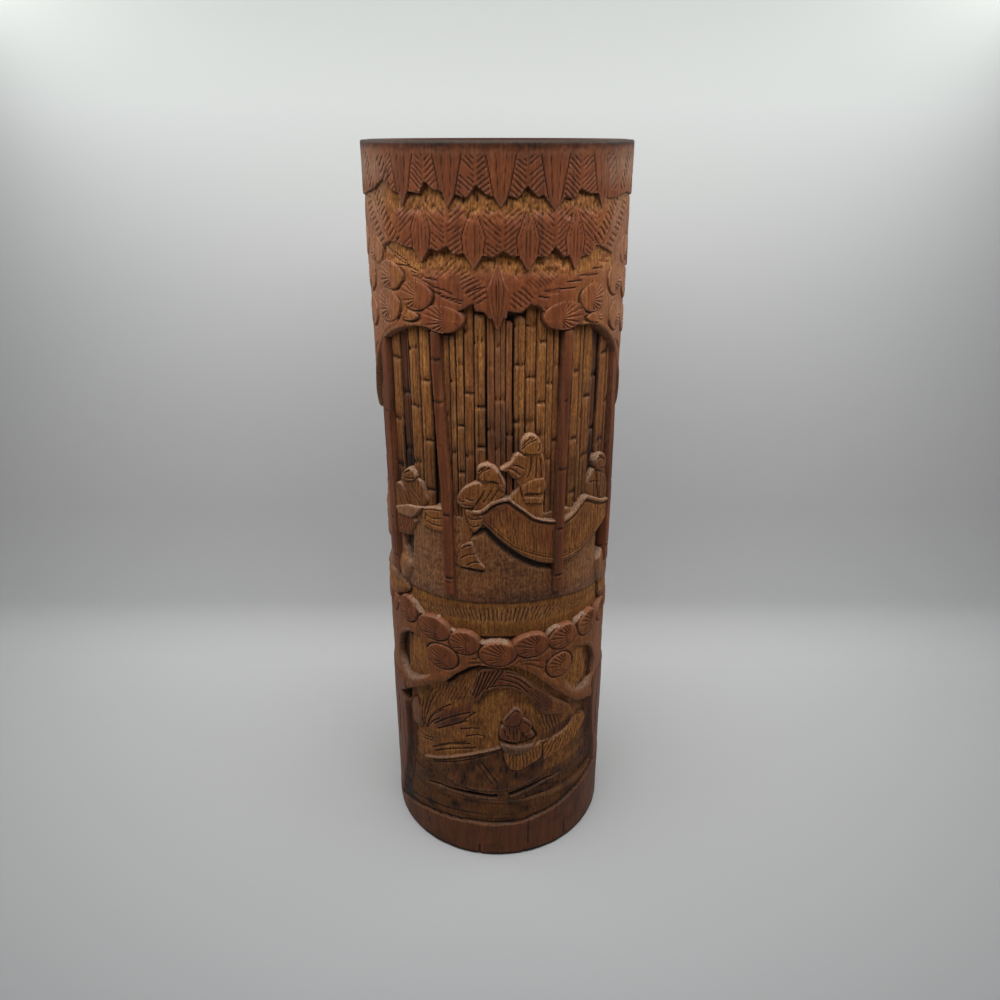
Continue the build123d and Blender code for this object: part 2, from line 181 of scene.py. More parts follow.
# One closed patch of carving: a grid primitive is cut to depth, bent round the culm and closed behind.
def carvedPatch(area, carve):
    columns = max(6, round((area["u"][1] - area["u"][0]) / area["step"]))
    arcs = np.linspace(*area["u"], columns + 1)
    if "levels" in area:
        levels = np.asarray(area["levels"], float)
    else:
        levels = np.linspace(*area["z"], max(6, round((area["z"][1] - area["z"][0]) / area["step"])) + 1)
    u, z = np.meshgrid(arcs, levels)
    cut = carve(u, z)
    depth = cut["depth"]
    for seed, (height, size) in ((5, surface["ripple"]), (6, surface["sway"])):
        depth = depth + height * softNoise(u, z, *size, seed)
    depth = np.minimum(depth, area["back"] - surface["backGap"])
    skin = np.broadcast_to(cut["skin"], depth.shape)
    soft = boxBlur(depth, max(1, round(area.get("edge", surface["edge"]) / area["step"])))
    ledge = np.clip(np.gradient(depth, levels, axis=0) - surface["ledgeFrom"], 0, 1)
    # Lower than its surroundings is painted dark: dirt, and painted shade in place of the shade that falls
    # there.
    grimeAndShade = surface["grimeAndShade"] * np.clip((depth - soft) / surface["grimeAndShadeStep"], 0, 1)
    # Up-facing ledges get less of that darkness: painted light from above.
    grimeAndShade = grimeAndShade * (1 - surface["ledgeCleanAndLit"] * ledge) + cut.get("sootAndShade", 0)
    wear = np.clip((soft - depth) / surface["wearStep"], 0, 1) * area["wear"] + cut.get("rubAndHighlight", 0)
    # Up-facing ledges are also painted paler: dust, and painted light from above.
    wear = wear + area["dustAndTopLight"] * ledge
    lowRows = area.get("lowRows", [(area["back"], levels[0])])
    topRows = area.get("topRows", [(area["back"], levels[-1])])
    rows = len(lowRows) + len(levels) + len(topRows)
    sheet = np.zeros((rows, columns + 1, 5))
    body = slice(len(lowRows), len(lowRows) + len(levels))
    sheet[body] = np.stack([depth, z, skin, np.clip(grimeAndShade, 0, 1), np.clip(wear, 0, 1)], axis=-1)
    for k, (rowDepth, rowLevel) in enumerate(lowRows):
        sheet[k] = sheet[len(lowRows)]
        sheet[k, :, 0] = rowDepth
        sheet[k, :, 1] = rowLevel
    for k, (rowDepth, rowLevel) in enumerate(topRows):
        sheet[body.stop + k] = sheet[body.stop - 1]
        sheet[body.stop + k, :, 0] = rowDepth
        sheet[body.stop + k, :, 1] = rowLevel

    bpy.ops.object.select_all(action="DESELECT")
    bpy.ops.mesh.primitive_grid_add(x_subdivisions=columns, y_subdivisions=rows - 1, size=2)
    patch = bpy.context.object
    mesh = patch.data
    flat = np.empty(len(mesh.vertices) * 3)
    mesh.vertices.foreach_get("co", flat)
    flat = flat.reshape(-1, 3)
    column = np.rint((flat[:, 0] + 1) / 2 * columns).astype(int)
    row = np.rint((flat[:, 1] + 1) / 2 * (rows - 1)).astype(int)
    point = sheet[row, column]
    angle = arcs[column] / skinRadius
    radius = skinRadius - point[:, 0]
    place = np.stack([radius * np.sin(angle), -radius * np.cos(angle), point[:, 1]], axis=-1) * mm
    mesh.vertices.foreach_set("co", place.ravel())
    finish = mesh.attributes.new("finish", "FLOAT_COLOR", "POINT")
    finish.data.foreach_set("color", np.column_stack([point[:, 2:], np.ones(len(point))]).ravel())

    # The first and last rows are bridged behind, then the two ends are filled.
    ends = np.empty(len(mesh.edges) * 2, int)
    mesh.edges.foreach_get("vertices", ends)
    edgeRows = row[ends.reshape(-1, 2)]
    outer = (edgeRows[:, 0] == 0) | (edgeRows[:, 0] == rows - 1)
    picked = (edgeRows[:, 0] == edgeRows[:, 1]) & outer
    bpy.ops.object.mode_set(mode="EDIT")
    bpy.ops.mesh.select_mode(type="EDGE")
    bpy.ops.mesh.select_all(action="DESELECT")
    bpy.ops.object.mode_set(mode="OBJECT")
    mesh.edges.foreach_set("select", picked)
    bpy.ops.object.mode_set(mode="EDIT")
    bpy.ops.mesh.bridge_edge_loops()
    if not area.get("ring"):
        bpy.ops.mesh.select_all(action="SELECT")
        bpy.ops.mesh.fill_holes(sides=0)
    bpy.ops.object.mode_set(mode="OBJECT")
    return patch


creaseAngle = 38


# Patches become one piece, repeated on the back, with its finish and its place in the frame.
def finishPiece(name, patches, material, nodes):
    bpy.ops.object.select_all(action="DESELECT")
    for patch in patches:
        patch.select_set(True)
    piece = patches[0]
    bpy.context.view_layer.objects.active = piece
    if len(patches) > 1:
        bpy.ops.object.join()
    piece.name = name
    piece.data.name = name
    bpy.ops.object.modifier_add(type="MIRROR")
    mirror = piece.modifiers[-1]
    mirror.use_axis = (False, True, False)
    mirror.use_mirror_merge = True
    mirror.merge_threshold = 1e-6
    bpy.ops.object.modifier_apply(modifier=mirror.name)
    bpy.ops.object.mode_set(mode="EDIT")
    bpy.ops.mesh.select_all(action="SELECT")
    bpy.ops.mesh.normals_make_consistent(inside=False)
    bpy.ops.object.mode_set(mode="OBJECT")
    bpy.ops.object.shade_smooth_by_angle(angle=math.radians(creaseAngle))
    piece.data.materials.clear()
    piece.data.materials.append(material)
    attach(piece, "root")
    if nodes:
        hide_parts(*nodes)
    print(name, len(piece.data.polygons), "faces")
    return piece


def linear(hexColour):
    shares = [int(hexColour[k:k + 2], 16) / 255 for k in (1, 3, 5)]
    return [s / 12.92 if s <= 0.04045 else ((s + 0.055) / 1.055) ** 2.4 for s in shares] + [1.0]


def addNode(tree, kind, inputs=None, **settings):
    node = tree.nodes.new(kind)
    for key, value in settings.items():
        setattr(node, key, value)
    for key, value in (inputs or {}).items():
        if isinstance(value, bpy.types.NodeSocket):
            tree.links.new(value, node.inputs[key])
        else:
            node.inputs[key].default_value = value
    return node


def newMaterial(name):
    material = bpy.data.materials.new(name)
    material.use_nodes = True
    material.node_tree.nodes.clear()
    return material


# Bamboo, stained and oiled, then cut with chisels: the skin keeps a red-brown stain with a dull sheen, the
# cut fibre below it is golden and matt, grooves hold dark dirt and painted shade, and handled edges are
# rubbed pale, with painted highlights and sheen laid on in the same pale colour. Each range gives the values
# of its noise where a share begins and where it is full.
bambooLook = {
    "fibreLight": "#cf9950",
    "fibreFresh": "#ba7b3d",
    "fibreDark": "#6a3d1d",
    "skinLight": "#904d2b",
    "skinDark": "#60321d",
    "dirtAndShade": "#190f0a",
    "rubbedAndLit": "#9c8470",
    "film": "#6b5243",
    "filmShare": 0.12,
    "filmRange": (0.3, 0.7),
    "gritShare": 0.5,
    "gritRange": (0.56, 0.72),
    "lightShare": 0.7,
    "lightRange": (0.55, 0.68),
    "toneRange": (0.36, 0.64),
    "rubRange": (0.36, 0.56),
    "stainSway": 0.45,
    "fleckPart": 0.5,
    "streakPart": 0.6,
    "patterns": {"fibre": (0.55, 14.0, 3.0), "fleck": (0.5, 1.7, 2.0), "grit": (0.55, 0.55, 2.0),
                 "streak": (2.2, 45.0, 4.0), "mottle": (9.0, 9.0, 5.0)},
    "skinRoughness": 0.5,
    "fibreRoughness": 0.74,
    "fibreRelief": 0.14,
    "reliefStrength": 0.6,
    "noiseRoughness": 0.6,
    "gloss": 0.13,
}


def cutBamboo(name, look):
    material = newMaterial(name)
    tree = material.node_tree
    place = addNode(tree, "ShaderNodeTexCoord").outputs["Object"]
    finish = addNode(tree, "ShaderNodeAttribute", attribute_name="finish")
    share = addNode(tree, "ShaderNodeSeparateColor", {"Color": finish.outputs["Color"]}).outputs
    grain = {}
    for pattern, (width, length, detail) in look["patterns"].items():  # sizes in mm, drawn out along the culm
        scale = (1 / (width * mm), 1 / (width * mm), 1 / (length * mm))
        mapped = addNode(tree, "ShaderNodeMapping", {"Vector": place, "Scale": scale}).outputs["Vector"]
        noise = addNode(tree, "ShaderNodeTexNoise", {"Vector": mapped, "Scale": 1.0, "Detail": detail,
                        "Roughness": look["noiseRoughness"]})
        grain[pattern] = noise.outputs["Fac"]
    flecks = addNode(tree, "ShaderNodeMath", {0: grain["fleck"], 1: look["fleckPart"]}, operation="MULTIPLY")
    fine = addNode(tree, "ShaderNodeMath", {0: grain["fibre"], 1: 1 - look["fleckPart"],
                   2: flecks.outputs[0]}, operation="MULTIPLY_ADD").outputs[0]
    partFine = addNode(tree, "ShaderNodeMath", {0: fine, 1: 1 - look["streakPart"]}, operation="MULTIPLY")
    long = addNode(tree, "ShaderNodeMath", {0: grain["streak"], 1: look["streakPart"],
                   2: partFine.outputs[0]}, operation="MULTIPLY_ADD").outputs[0]
    toneFrom, toneTo = look["toneRange"]
    fineShare = addNode(tree, "ShaderNodeMapRange", {"Value": fine, "From Min": toneFrom, "From Max": toneTo})
    longShare = addNode(tree, "ShaderNodeMapRange", {"Value": long, "From Min": toneFrom, "From Max": toneTo})
    lightFrom, lightTo = look["lightRange"]
    lightShare = addNode(tree, "ShaderNodeMapRange", {"Value": fine, "From Min": lightFrom,
                         "From Max": lightTo, "To Max": look["lightShare"]})
    fibre = addNode(tree, "ShaderNodeMix", {"Factor": fineShare.outputs[0], "A": linear(look["fibreDark"]),
                    "B": linear(look["fibreFresh"])}, data_type="RGBA")
    flecked = addNode(tree, "ShaderNodeMix", {"Factor": lightShare.outputs[0], "A": fibre.outputs["Result"],
                      "B": linear(look["fibreLight"])}, data_type="RGBA")
    skin = addNode(tree, "ShaderNodeMix", {"Factor": longShare.outputs[0], "A": linear(look["skinDark"]),
                   "B": linear(look["skinLight"])}, data_type="RGBA")
    # Mottling moves the line between stained skin and bare fibre, so that no edge of colour is straight.
    uneven = addNode(tree, "ShaderNodeMapRange", {"Value": grain["mottle"], "To Min": -look["stainSway"],
                     "To Max": look["stainSway"]})
    stain = addNode(tree, "ShaderNodeMath", {0: share["Red"], 1: uneven.outputs[0]}, operation="ADD",
                    use_clamp=True).outputs[0]
    wood = addNode(tree, "ShaderNodeMix", {"Factor": stain, "A": flecked.outputs["Result"],
                   "B": skin.outputs["Result"]}, data_type="RGBA")
    # A dull film of old wax lies over all of it, thicker in places.
    filmFrom, filmTo = look["filmRange"]
    filmShare = addNode(tree, "ShaderNodeMapRange", {"Value": grain["mottle"], "From Min": filmFrom,
                        "From Max": filmTo, "To Max": look["filmShare"]})
    aged = addNode(tree, "ShaderNodeMix", {"Factor": filmShare.outputs[0], "A": wood.outputs["Result"],
                   "B": linear(look["film"])}, data_type="RGBA")
    gritFrom, gritTo = look["gritRange"]
    pits = addNode(tree, "ShaderNodeMapRange", {"Value": grain["grit"], "From Min": gritFrom,
                   "From Max": gritTo, "To Max": look["gritShare"]})
    # The dark colour is dirt and painted shade together.
    dirtAndShadeShare = addNode(tree, "ShaderNodeMath", {0: share["Green"], 1: pits.outputs[0]}, operation="MAXIMUM")
    dirtiedAndShaded = addNode(tree, "ShaderNodeMix", {"Factor": dirtAndShadeShare.outputs[0], "A": aged.outputs["Result"],
                    "B": linear(look["dirtAndShade"])}, data_type="RGBA")
    # Rubbing and the painted highlights show in broken streaks along the fibre.
    rubFrom, rubTo = look["rubRange"]
    wornAndLit = addNode(tree, "ShaderNodeMapRange", {"Value": fine, "From Min": rubFrom, "From Max": rubTo})
    rubAndLightShare = addNode(tree, "ShaderNodeMath", {0: share["Blue"], 1: wornAndLit.outputs[0]}, operation="MULTIPLY")
    colour = addNode(tree, "ShaderNodeMix", {"Factor": rubAndLightShare.outputs[0], "A": dirtiedAndShaded.outputs["Result"],
                     "B": linear(look["rubbedAndLit"])}, data_type="RGBA")
    rough = addNode(tree, "ShaderNodeMapRange", {"Value": stain, "To Min": look["fibreRoughness"],
                    "To Max": look["skinRoughness"]})
    bump = addNode(tree, "ShaderNodeBump", {"Height": fine, "Strength": look["reliefStrength"],
                   "Distance": look["fibreRelief"] * mm})
    shader = addNode(tree, "ShaderNodeBsdfPrincipled", {"Base Color": colour.outputs["Result"],
                     "Roughness": rough.outputs[0], "Normal": bump.outputs["Normal"],
                     "Specular IOR Level": look["gloss"]})
    addNode(tree, "ShaderNodeOutputMaterial", {"Surface": shader.outputs["BSDF"]})
    return material


stainedSkin = cutBamboo("stainedBambooSkin", bambooLook)
chiselledFibre = cutBamboo("chiselledBambooFibre", bambooLook)
print("materials made")


# Several raised shapes in one patch: each is an outline, its level and the fall of its round shoulder.
def layered(u, z, shapes):
    depth = np.full(u.shape, 9.0)
    for outline, level, shoulder, drop in shapes:
        depth = np.minimum(depth, standing(insideCurve(u, z, outline), level, 0.6 * shoulder, drop))
    return depth


def foldCuts(u, z, lines, width, depth):  # fine cuts along given lines
    cuts = np.zeros(u.shape)
    for line in lines:
        cuts = np.maximum(cuts, groove(nearCurve(u, z, line), width, depth))
    return cuts


# Cuts on one tier of leaves: lances that point down, and wings between them with cuts that meet in a V.
def tierCuts(u, z, tier):
    tips = np.array(tier["lances"])
    lance = np.argmin(np.abs(u[..., None] - tips[:, 0]), axis=-1)
    x = u - tips[lance, 0]
    height = z - tips[lance, 1]
    half = np.interp(height, *tier["lanceHalf"])
    share = x / np.maximum(half, 0.4)
    cuts = groove(np.abs(np.abs(x) - half), 0.7, 0.42) * fade(height, 21.5, 18.5)
    for place in tier["ribs"]:
        cuts = np.maximum(cuts, groove(np.abs(share - place) * half, 0.5, 0.24) * fade(height, 2.5, 5))
    notches = np.array(tier["notches"])
    wing = np.argmin(np.abs(u[..., None] - notches), axis=-1)
    across = u - notches[wing]
    side = np.where(across > 0, 1, -1)
    slant = z - tier["slant"] * np.abs(across) + 0.45 * softNoise(u, z, 6, 5, 13) + 0.6 * side + 0.7 * wing
    chevrons = strokes(slant, tier["pitch"], 0.62, 0.42)
    broken = fade(softNoise(u + 3 * side, slant, 4.5, tier["pitch"], 14), -0.75, -0.45)
    away = np.minimum(np.abs(x) - half, np.abs(across))
    cuts += chevrons * broken * fade(away, 0.35, 0.6) * fade(-z, -tier["top"], 2 - tier["top"])
    return cuts


# Short cuts side by side along a line, as on the side leaves.
def combCuts(u, z, start, end, half, pitch, lean):
    du = end[0] - start[0]
    dz = end[1] - start[1]
    length = math.hypot(du, dz)
    along = ((u - start[0]) * du + (z - start[1]) * dz) / length
    across = ((u - start[0]) * dz - (z - start[1]) * du) / length
    along = along + 0.3 * softNoise(u, z, 4, 4, 15)
    inside = fade(half - np.abs(across), 0, 0.6) * (along > 0) * (along < length)
    return strokes(along + lean * across, pitch, 0.75, 0.5) * inside


# Rim leaves: the top tier, from the rim down to a ragged lower edge.
rimLeaves = {
    "u": (-sideArc, sideArc),
    "z": (276.5, 299.8),
    "step": 0.36,
    "back": 5.5,
    "ring": True,
    "wear": 0.25,
    "dustAndTopLight": 0.1,
    "lances": [(-51.5, 283.0), (-33.8, 279.6), (-16.2, 279.6), (1.3, 280.0), (19.2, 279.0), (39.2, 278.5),
               (56.0, 282.0)],
    "notches": [-42.0, -24.5, -6.8, 9.8, 29.0, 48.0],
    "lanceHalf": ([0, 4, 18.5], [0.3, 2.4, 5.4]),
    "ribs": (-0.36, 0.36),
    "slant": 0.85,
    "pitch": 1.8,
    "top": 297.0,
    "round": 1.0,
    "edge": 0.7,
}
rimEdge = [(-sideArc, 281), (-62, 282.5), (-51.2, 284.7), (-43.8, 288), (-39.6, 284.6), (-35.3, 283.9),
           (-33.8, 279.6), (-31.5, 284.7), (-26.5, 284.3), (-24.5, 287.9), (-20.6, 285.3), (-18, 285.1),
           (-16.2, 279.6), (-13.7, 284.3), (-9.7, 283.3), (-6.8, 287), (-3.5, 284.5), (-1.3, 283.9),
           (1.3, 280), (3.7, 283.9), (6.9, 283.2), (9.8, 286.9), (13.4, 283.5), (15.3, 284), (19.2, 279),
           (23.1, 283.5), (26.5, 282.7), (29, 285.6), (33.4, 284), (37.2, 284), (39.2, 278.5),
           (41.1, 282.5), (45.2, 281.8), (57.7, 283.4), (sideArc, 281)]
# Combs as start, end, half width, pitch and lean. The first two show only beyond an arc of their own.
rimCombs = [
    (((-45.8, 295), (-40, 285), 2.4, 2.1, -0.35), 40),
    (((42.5, 297), (46.5, 284.5), 2.2, 2.2, -0.6), 40.5),
]
rimSideCombs = [((58, 297), (52, 284.5), 2.4, 2.3, 0.5), ((70, 297), (65, 283), 2.4, 2.3, 0.5)]


def carveRimLeaves(u, z):
    edge = np.interp(u, *np.transpose(rimEdge)) + 0.2 * softNoise(u, z, 3, 30, 12)
    away = np.abs(u)
    front = 1 - fade(away, 40.5, 42.5)
    cuts = tierCuts(u, z, rimLeaves) * front
    for comb, beyond in rimCombs:
        cuts += combCuts(u, z, *comb) * (away > beyond)
    for comb in rimSideCombs:
        cuts += combCuts(away, z, *comb)
    radius = rimLeaves["round"]
    depth = standing(z - edge, 0.0, 0.7, 0.12, 4.0) + cuts * (1 - fade(z, 295, 297))
    depth += radius - np.sqrt(radius**2 - np.clip(z - rimLevel + radius, 0, None) ** 2)
    plum = 0.1 * fade(softNoise(u, z, 9, 12, 16), -0.1, 0.5)
    frayed = z + 0.7 * softNoise(u, z, 1.3, 1.0, 17)
    edgeSoot = 0.12 * fade(z, 291, 296) + 0.45 * fade(frayed, 296.4, 299.4) + 0.15 * fade(z, 298.8, 299.4)
    # Towards the sides the rim leaves are painted paler: a painted sheen where the light grazes the culm.
    wornAndLit = 0.4 * fade(z, 284, 290) * fade(away, 32, 54) * (1 - 0.7 * fade(z, 293, 297))
    wornAndLit = wornAndLit * (1 - fade(z, 297, 299)) + 0.08 * np.exp(-((frayed - 296.3) / 0.9) ** 2)
    return {"depth": depth, "skin": 1.0 - 0.2 * fade(away, 44, 52), "sootAndShade": plum + 0.27 + edgeSoot,
            "rubAndHighlight": wornAndLit}


finishPiece("rimLeaves", [carvedPatch(rimLeaves, carveRimLeaves)], stainedSkin, ["rim_leaves"])


# Middle leaves: the second tier, whose upper part fades into the rough bare fibre under the first.
middleLeaves = {
    "u": (-sideArc, sideArc),
    "z": (257.5, 291.0),
    "step": 0.41,
    "back": 5.5,
    "ring": True,
    "wear": 0.25,
    "dustAndTopLight": 0.1,
    "lances": [(-45.5, 264.0), (-26.7, 262.2), (-7.7, 260.9), (10.3, 260.2), (27.5, 259.8), (46.0, 262.0)],
    "notches": [-36.5, -17.0, 1.9, 19.8, 37.3],
    "lanceHalf": ([0, 4.8, 10.5, 20], [0.3, 3.2, 4.1, 0.5]),
    "ribs": (-0.62, -0.16, 0.16, 0.62),
    "slant": 0.8,
    "pitch": 1.85,
    "top": 281.0,
    "edge": 0.7,
}
middleEdge = [(-sideArc, 262), (-60, 263), (-47, 266), (-41.5, 268.4), (-40.3, 268.4), (-33, 267.3),
              (-30.2, 267.1), (-26.7, 262.2), (-23.4, 267.3), (-20.2, 266.6), (-17, 268.5), (-14.6, 265.9),
              (-11.2, 266.3), (-7.7, 260.9), (-4.6, 265.7), (-1.8, 264.9), (1.9, 267.1), (5.2, 265.3),
              (7.1, 265.7), (10.3, 260.2), (13.8, 265.5), (16.8, 264.9), (19.8, 268.1), (23.1, 264.6),
              (25.3, 265.1), (27.5, 259.8), (30.7, 264.5), (34.4, 264.2), (37.3, 267.7), (42.3, 265.8),
              (50, 263), (sideArc, 262)]

middleCombs = [
    ((53, 287), (37.5, 268.5), 2.5, 2.0, 0.1),
    ((59, 281), (43.5, 265), 2.2, 2.2, -0.4),
    ((70, 286), (60, 265), 2.3, 2.2, 0.4),
]
middleVeins = [((56.5, 285), (40.5, 267.5)), ((64.5, 287), (52, 266))]


def carveMiddleLeaves(u, z):
    edge = np.interp(u, *np.transpose(middleEdge)) + 0.2 * softNoise(u, z, 3, 30, 18)
    away = np.abs(u)
    sided = fade(away, 36.5, 40.5)
    cuts = tierCuts(u, z, middleLeaves) * (1 - sided)
    for side in (-1, 1):
        for start, end, half, pitch, lean in middleCombs:
            ends = [(side * start[0], start[1]), (side * end[0], end[1])]
            cuts += combCuts(u, z, *ends, half, pitch, lean * side)
        for vein in middleVeins:
            cuts += groove(nearLine(u, z, [(side * arc, level) for arc, level in vein]), 0.8, 0.45)
    ragged = z + 1.5 * softNoise(u, z, 2.2, 2.5, 21) + 0.8 * softNoise(u, z, 0.8, 1.2, 23)
    ramp = fade(ragged, 274.5, 286.5) * (1.9 - 1.3 * sided)
    rough = 0.14 * softNoise(u, z, 0.8, 1.1, 22) * fade(ramp, 0.1, 0.6)
    step = standing(z - edge, 0.0, 0.7, 0.12, 4.0) * (1 - fade(away, 44, 48)) + 0.35 * fade(away, 44, 48)
    depth = step + cuts * (1 - 0.6 * fade(ramp, 0.5, 1.2)) + ramp + rough
    skin = 1.0 - 0.3 * sided - 0.95 * fade(ragged, 277.0, 281.5) * (1 - 0.45 * sided)
    # Darker up under the first tier: painted shade beneath its edge. Towards the sides the leaves are painted
    # paler: a painted sheen.
    sootAndShade = 0.1 + 0.1 * fade(ragged, 277, 280) + 0.25 * fade(ragged, 280, 287)
    return {"depth": depth, "skin": np.clip(skin, 0.03, 1), "sootAndShade": sootAndShade, "rubAndHighlight": 0.24 * fade(away, 40, 50)}


finishPiece("middleLeaves", [carvedPatch(middleLeaves, carveMiddleLeaves)], stainedSkin,
            ["middle_leaves"])


# Pine clumps of the canopy as arc, level, half width, half height, stain, and the side of the undercut edge.
boughPlan = [
    (-19.8, 244.3, 8.0, 4.7, 1.0, 1),
    (-30.4, 251.5, 7.2, 4.9, 0.8, 1),
    (-33.7, 244.2, 3.9, 1.7, 0.6, 1),
    (-43.5, 257.0, 7.6, 4.7, 0.6, 1),
    (-45.5, 246.3, 7.4, 5.7, 0.6, 1),
    (-53.1, 264.6, 6.3, 4.8, 0.65, 1),
    (-61.0, 255.0, 6.2, 5.6, 0.65, 1),
    (-61.0, 242.0, 6.0, 5.4, 0.65, 1),
    (-67.5, 266.5, 6.2, 5.4, 0.65, 1),
    (24.7, 245.2, 8.4, 4.8, 1.0, -1),
    (37.5, 250.1, 6.4, 4.9, 0.7, -1),
    (39.4, 243.0, 4.3, 1.7, 0.6, -1),
    (52.0, 254.9, 6.2, 5.7, 0.6, -1),
    (53.6, 241.6, 5.6, 5.4, 0.6, -1),
    (60.5, 264.0, 6.3, 5.0, 0.65, -1),
    (64.5, 251.5, 5.6, 5.6, 0.65, -1),
    (66.0, 238.0, 5.4, 5.0, 0.65, -1),
    (72.0, 262.0, 5.0, 5.4, 0.65, -1),
]


def overlap(u, z, arc, level, halfWide, halfHigh, side):  # ellipse radius, and 1 towards the undercut edge
    x = (u - arc) / halfWide
    y = (z - level) / halfHigh
    away = np.hypot(x, y)
    return x, y, away, (0.7 * side * x - 0.7 * y) / np.maximum(away, 0.05)


# Palm leaves: the low leaves over the grove, with a lobed lower edge, hatched wings and long level cuts.
palmLeaves = {"u": (-62.0, 62.0), "z": (226.0, 271.0), "step": 0.42, "back": 6.6, "wear": 0.25, "dustAndTopLight": 0.1,
              "edge": 0.7}
palmEdge = [(-64, 224), (-60, 229.4), (-50.6, 233.6), (-43.6, 237.2), (-38.1, 239.3), (-31.3, 241),
            (-28, 241.1), (-25, 240.7), (-21.5, 239.6), (-18, 239.8), (-15, 240.6), (-12.4, 242.6),
            (-11.8, 244.1), (-13.2, 247.3), (-8, 250.2), (-7.4, 247.7), (-4.5, 247.2), (-2.8, 245.4),
            (3, 245.4), (3.6, 247.8), (6.1, 247.3), (8.6, 247), (10.1, 248.4), (11.6, 249.8), (14.1, 249.1),
            (16.8, 246.8), (17.4, 243.8), (19.9, 241.6), (23.5, 240.4), (27.2, 240.6), (30.3, 241.3),
            (34.6, 241), (39.4, 240.3), (45.3, 238.1), (50.7, 234.8), (60.4, 229.1), (64, 225), (64, 280),
            (-64, 280)]
palmLines = [
    [(-31.2, 259.2), (-25.7, 257.7), (-21.1, 257.2)],
    [(-30.1, 257.9), (-26.8, 257.6)],
    [(-23.1, 254.9), (-18.5, 254), (-15.4, 252.7)],
    [(-22.1, 253.2), (-19.2, 252.1), (-12.1, 250.8)],
    [(-19.8, 251.9), (-12.4, 249.9)],
    [(-49, 268.9), (-41.8, 265.5), (-33.5, 262.3)],
    [(-43.3, 265.6), (-38.2, 263), (-32.4, 261.1)],
    [(-39.4, 260.9), (-31.3, 260.4), (-26.1, 258.1)],
    [(-30.4, 257.9), (-26.2, 256.6), (-22.3, 254.9)],
    [(-28.3, 255.4), (-23.4, 253.4), (-19.6, 252.9)],
    [(-36.9, 260.9), (-32.6, 261)],
    [(-10.4, 253.4), (-5.6, 255.4)],
    [(16.5, 253.8), (23.3, 254.1), (28.2, 254.2)],
    [(16.8, 253.1), (22, 253.2)],
    [(14.4, 252.2), (18.1, 251.4)],
    [(24.9, 256.3), (30.8, 256.4)],
    [(30.3, 257.9), (38.8, 257.6)],
    [(36.3, 259.8), (42.1, 259.4)],
    [(39.8, 262.1), (45.9, 261.1)],
    [(42.2, 263.5), (51.2, 262.3)],
    [(38.9, 267.8), (46, 265.1)],
    [(45.9, 266), (52.7, 262.7)],
]
leftHatch = [(-22.5, 258.4), (-22.3, 261), (-17.5, 265), (-10.5, 264.6), (-12.6, 259.4), (-18.8, 257.8)]
leftWing = [(-13.9, 258.6), (-10.5, 261), (-3.2, 256), (-3, 250.8), (-6.6, 249.5), (-10.9, 252.6)]
rightHatch = [(8.6, 257), (19.4, 263.2), (24.2, 259.6), (17.6, 255.2), (12.4, 254.4)]
rightWing = [(4, 249.4), (4, 253.4), (8.6, 256.8), (14, 253.2), (11.4, 249.8), (7.4, 247.4)]
redLeaf = [(-21, 258.2), (-13.4, 259.4), (-11.6, 250), (-18.5, 254)]


def carvePalmLeaves(u, z):
    inside = insideOutline(u, z, palmEdge) + 0.15 * softNoise(u, z, 2.5, 2.5, 31)
    away = np.abs(u)
    ragged = z + 1.4 * softNoise(u, z, 2.2, 2.5, 32) + 0.8 * softNoise(u, z, 0.8, 1.2, 35)
    ramp = fade(ragged, 256.5, 267.5) * (1.9 - 1.4 * fade(away, 24, 36))
    cuts = foldCuts(u, z, palmLines, 0.75, 0.5)
    wander = 0.4 * softNoise(u, z, 5, 5, 33)
    rising = 0.66 * u - 0.75 * z + wander
    falling = 0.66 * u + 0.75 * z + wander
    broken = fade(softNoise(u, z, 3.5, 3.5, 36), -0.75, -0.4)
    shallow = 0.5 * u - 0.86 * z + wander
    hatches = [(leftHatch, rising, 1.4, 0.34), (leftWing, shallow, 1.55, 0.45),
               (rightHatch, falling, 1.15, 0.34), (rightWing, falling, 1.6, 0.45)]
    for outline, across, pitch, cutDepth in hatches:
        area = fade(insideOutline(u, z, outline), 0, 0.7)
        cuts = np.maximum(cuts, strokes(across, pitch, 0.6, cutDepth) * area * broken)
    red = insideOutline(u, z, redLeaf)
    cuts = np.maximum(cuts, strokes(u + 0.2 * softNoise(u, z, 2, 9, 34), 1.2, 0.45, 0.16) * fade(red, 0, 0.8))
    moat = np.zeros(u.shape)
    for arc, level, halfWide, halfHigh, _, side in boughPlan:
        _, _, ring, facing = overlap(u, z, arc, level, halfWide, halfHigh, side)
        gap = (ring - 1) * min(halfWide, halfHigh)
        moat = np.maximum(moat, fade(-gap, -1.5, -0.2) * fade(facing, 0.0, 0.5) * (ring > 0.8))
    hang = fade(inside, 0.3, 1.2)
    rough = 0.12 * softNoise(u, z, 0.8, 1.1, 37) * fade(ramp, 0.1, 0.6)
    depth = standing(inside, 0.42, 0.8, 0.2, 4.5) + ramp + cuts + 0.75 * moat * hang + rough
    skin = 1.0 - 0.85 * fade(ragged, 257.5, 263) - 0.32 * fade(away, 21, 30) * (1 - 0.4 * fade(red, 0, 1))
    skin = skin + 0.14 * softNoise(u, z, 5, 5, 38)
    # Along the clumps' undercut edges and up under the middle tier the leaves are painted dark: painted
    # shadow. Towards the sides they are painted paler: a painted sheen.
    sootAndShade = 0.35 * moat * hang + 0.2 * fade(ragged, 262, 268)
    return {"depth": depth, "skin": np.clip(skin, 0.05, 1), "sootAndShade": sootAndShade, "rubAndHighlight": 0.22 * fade(away, 36, 48)}


finishPiece("palmLeaves", [carvedPatch(palmLeaves, carvePalmLeaves)], stainedSkin,
            ["palm_leaves"])


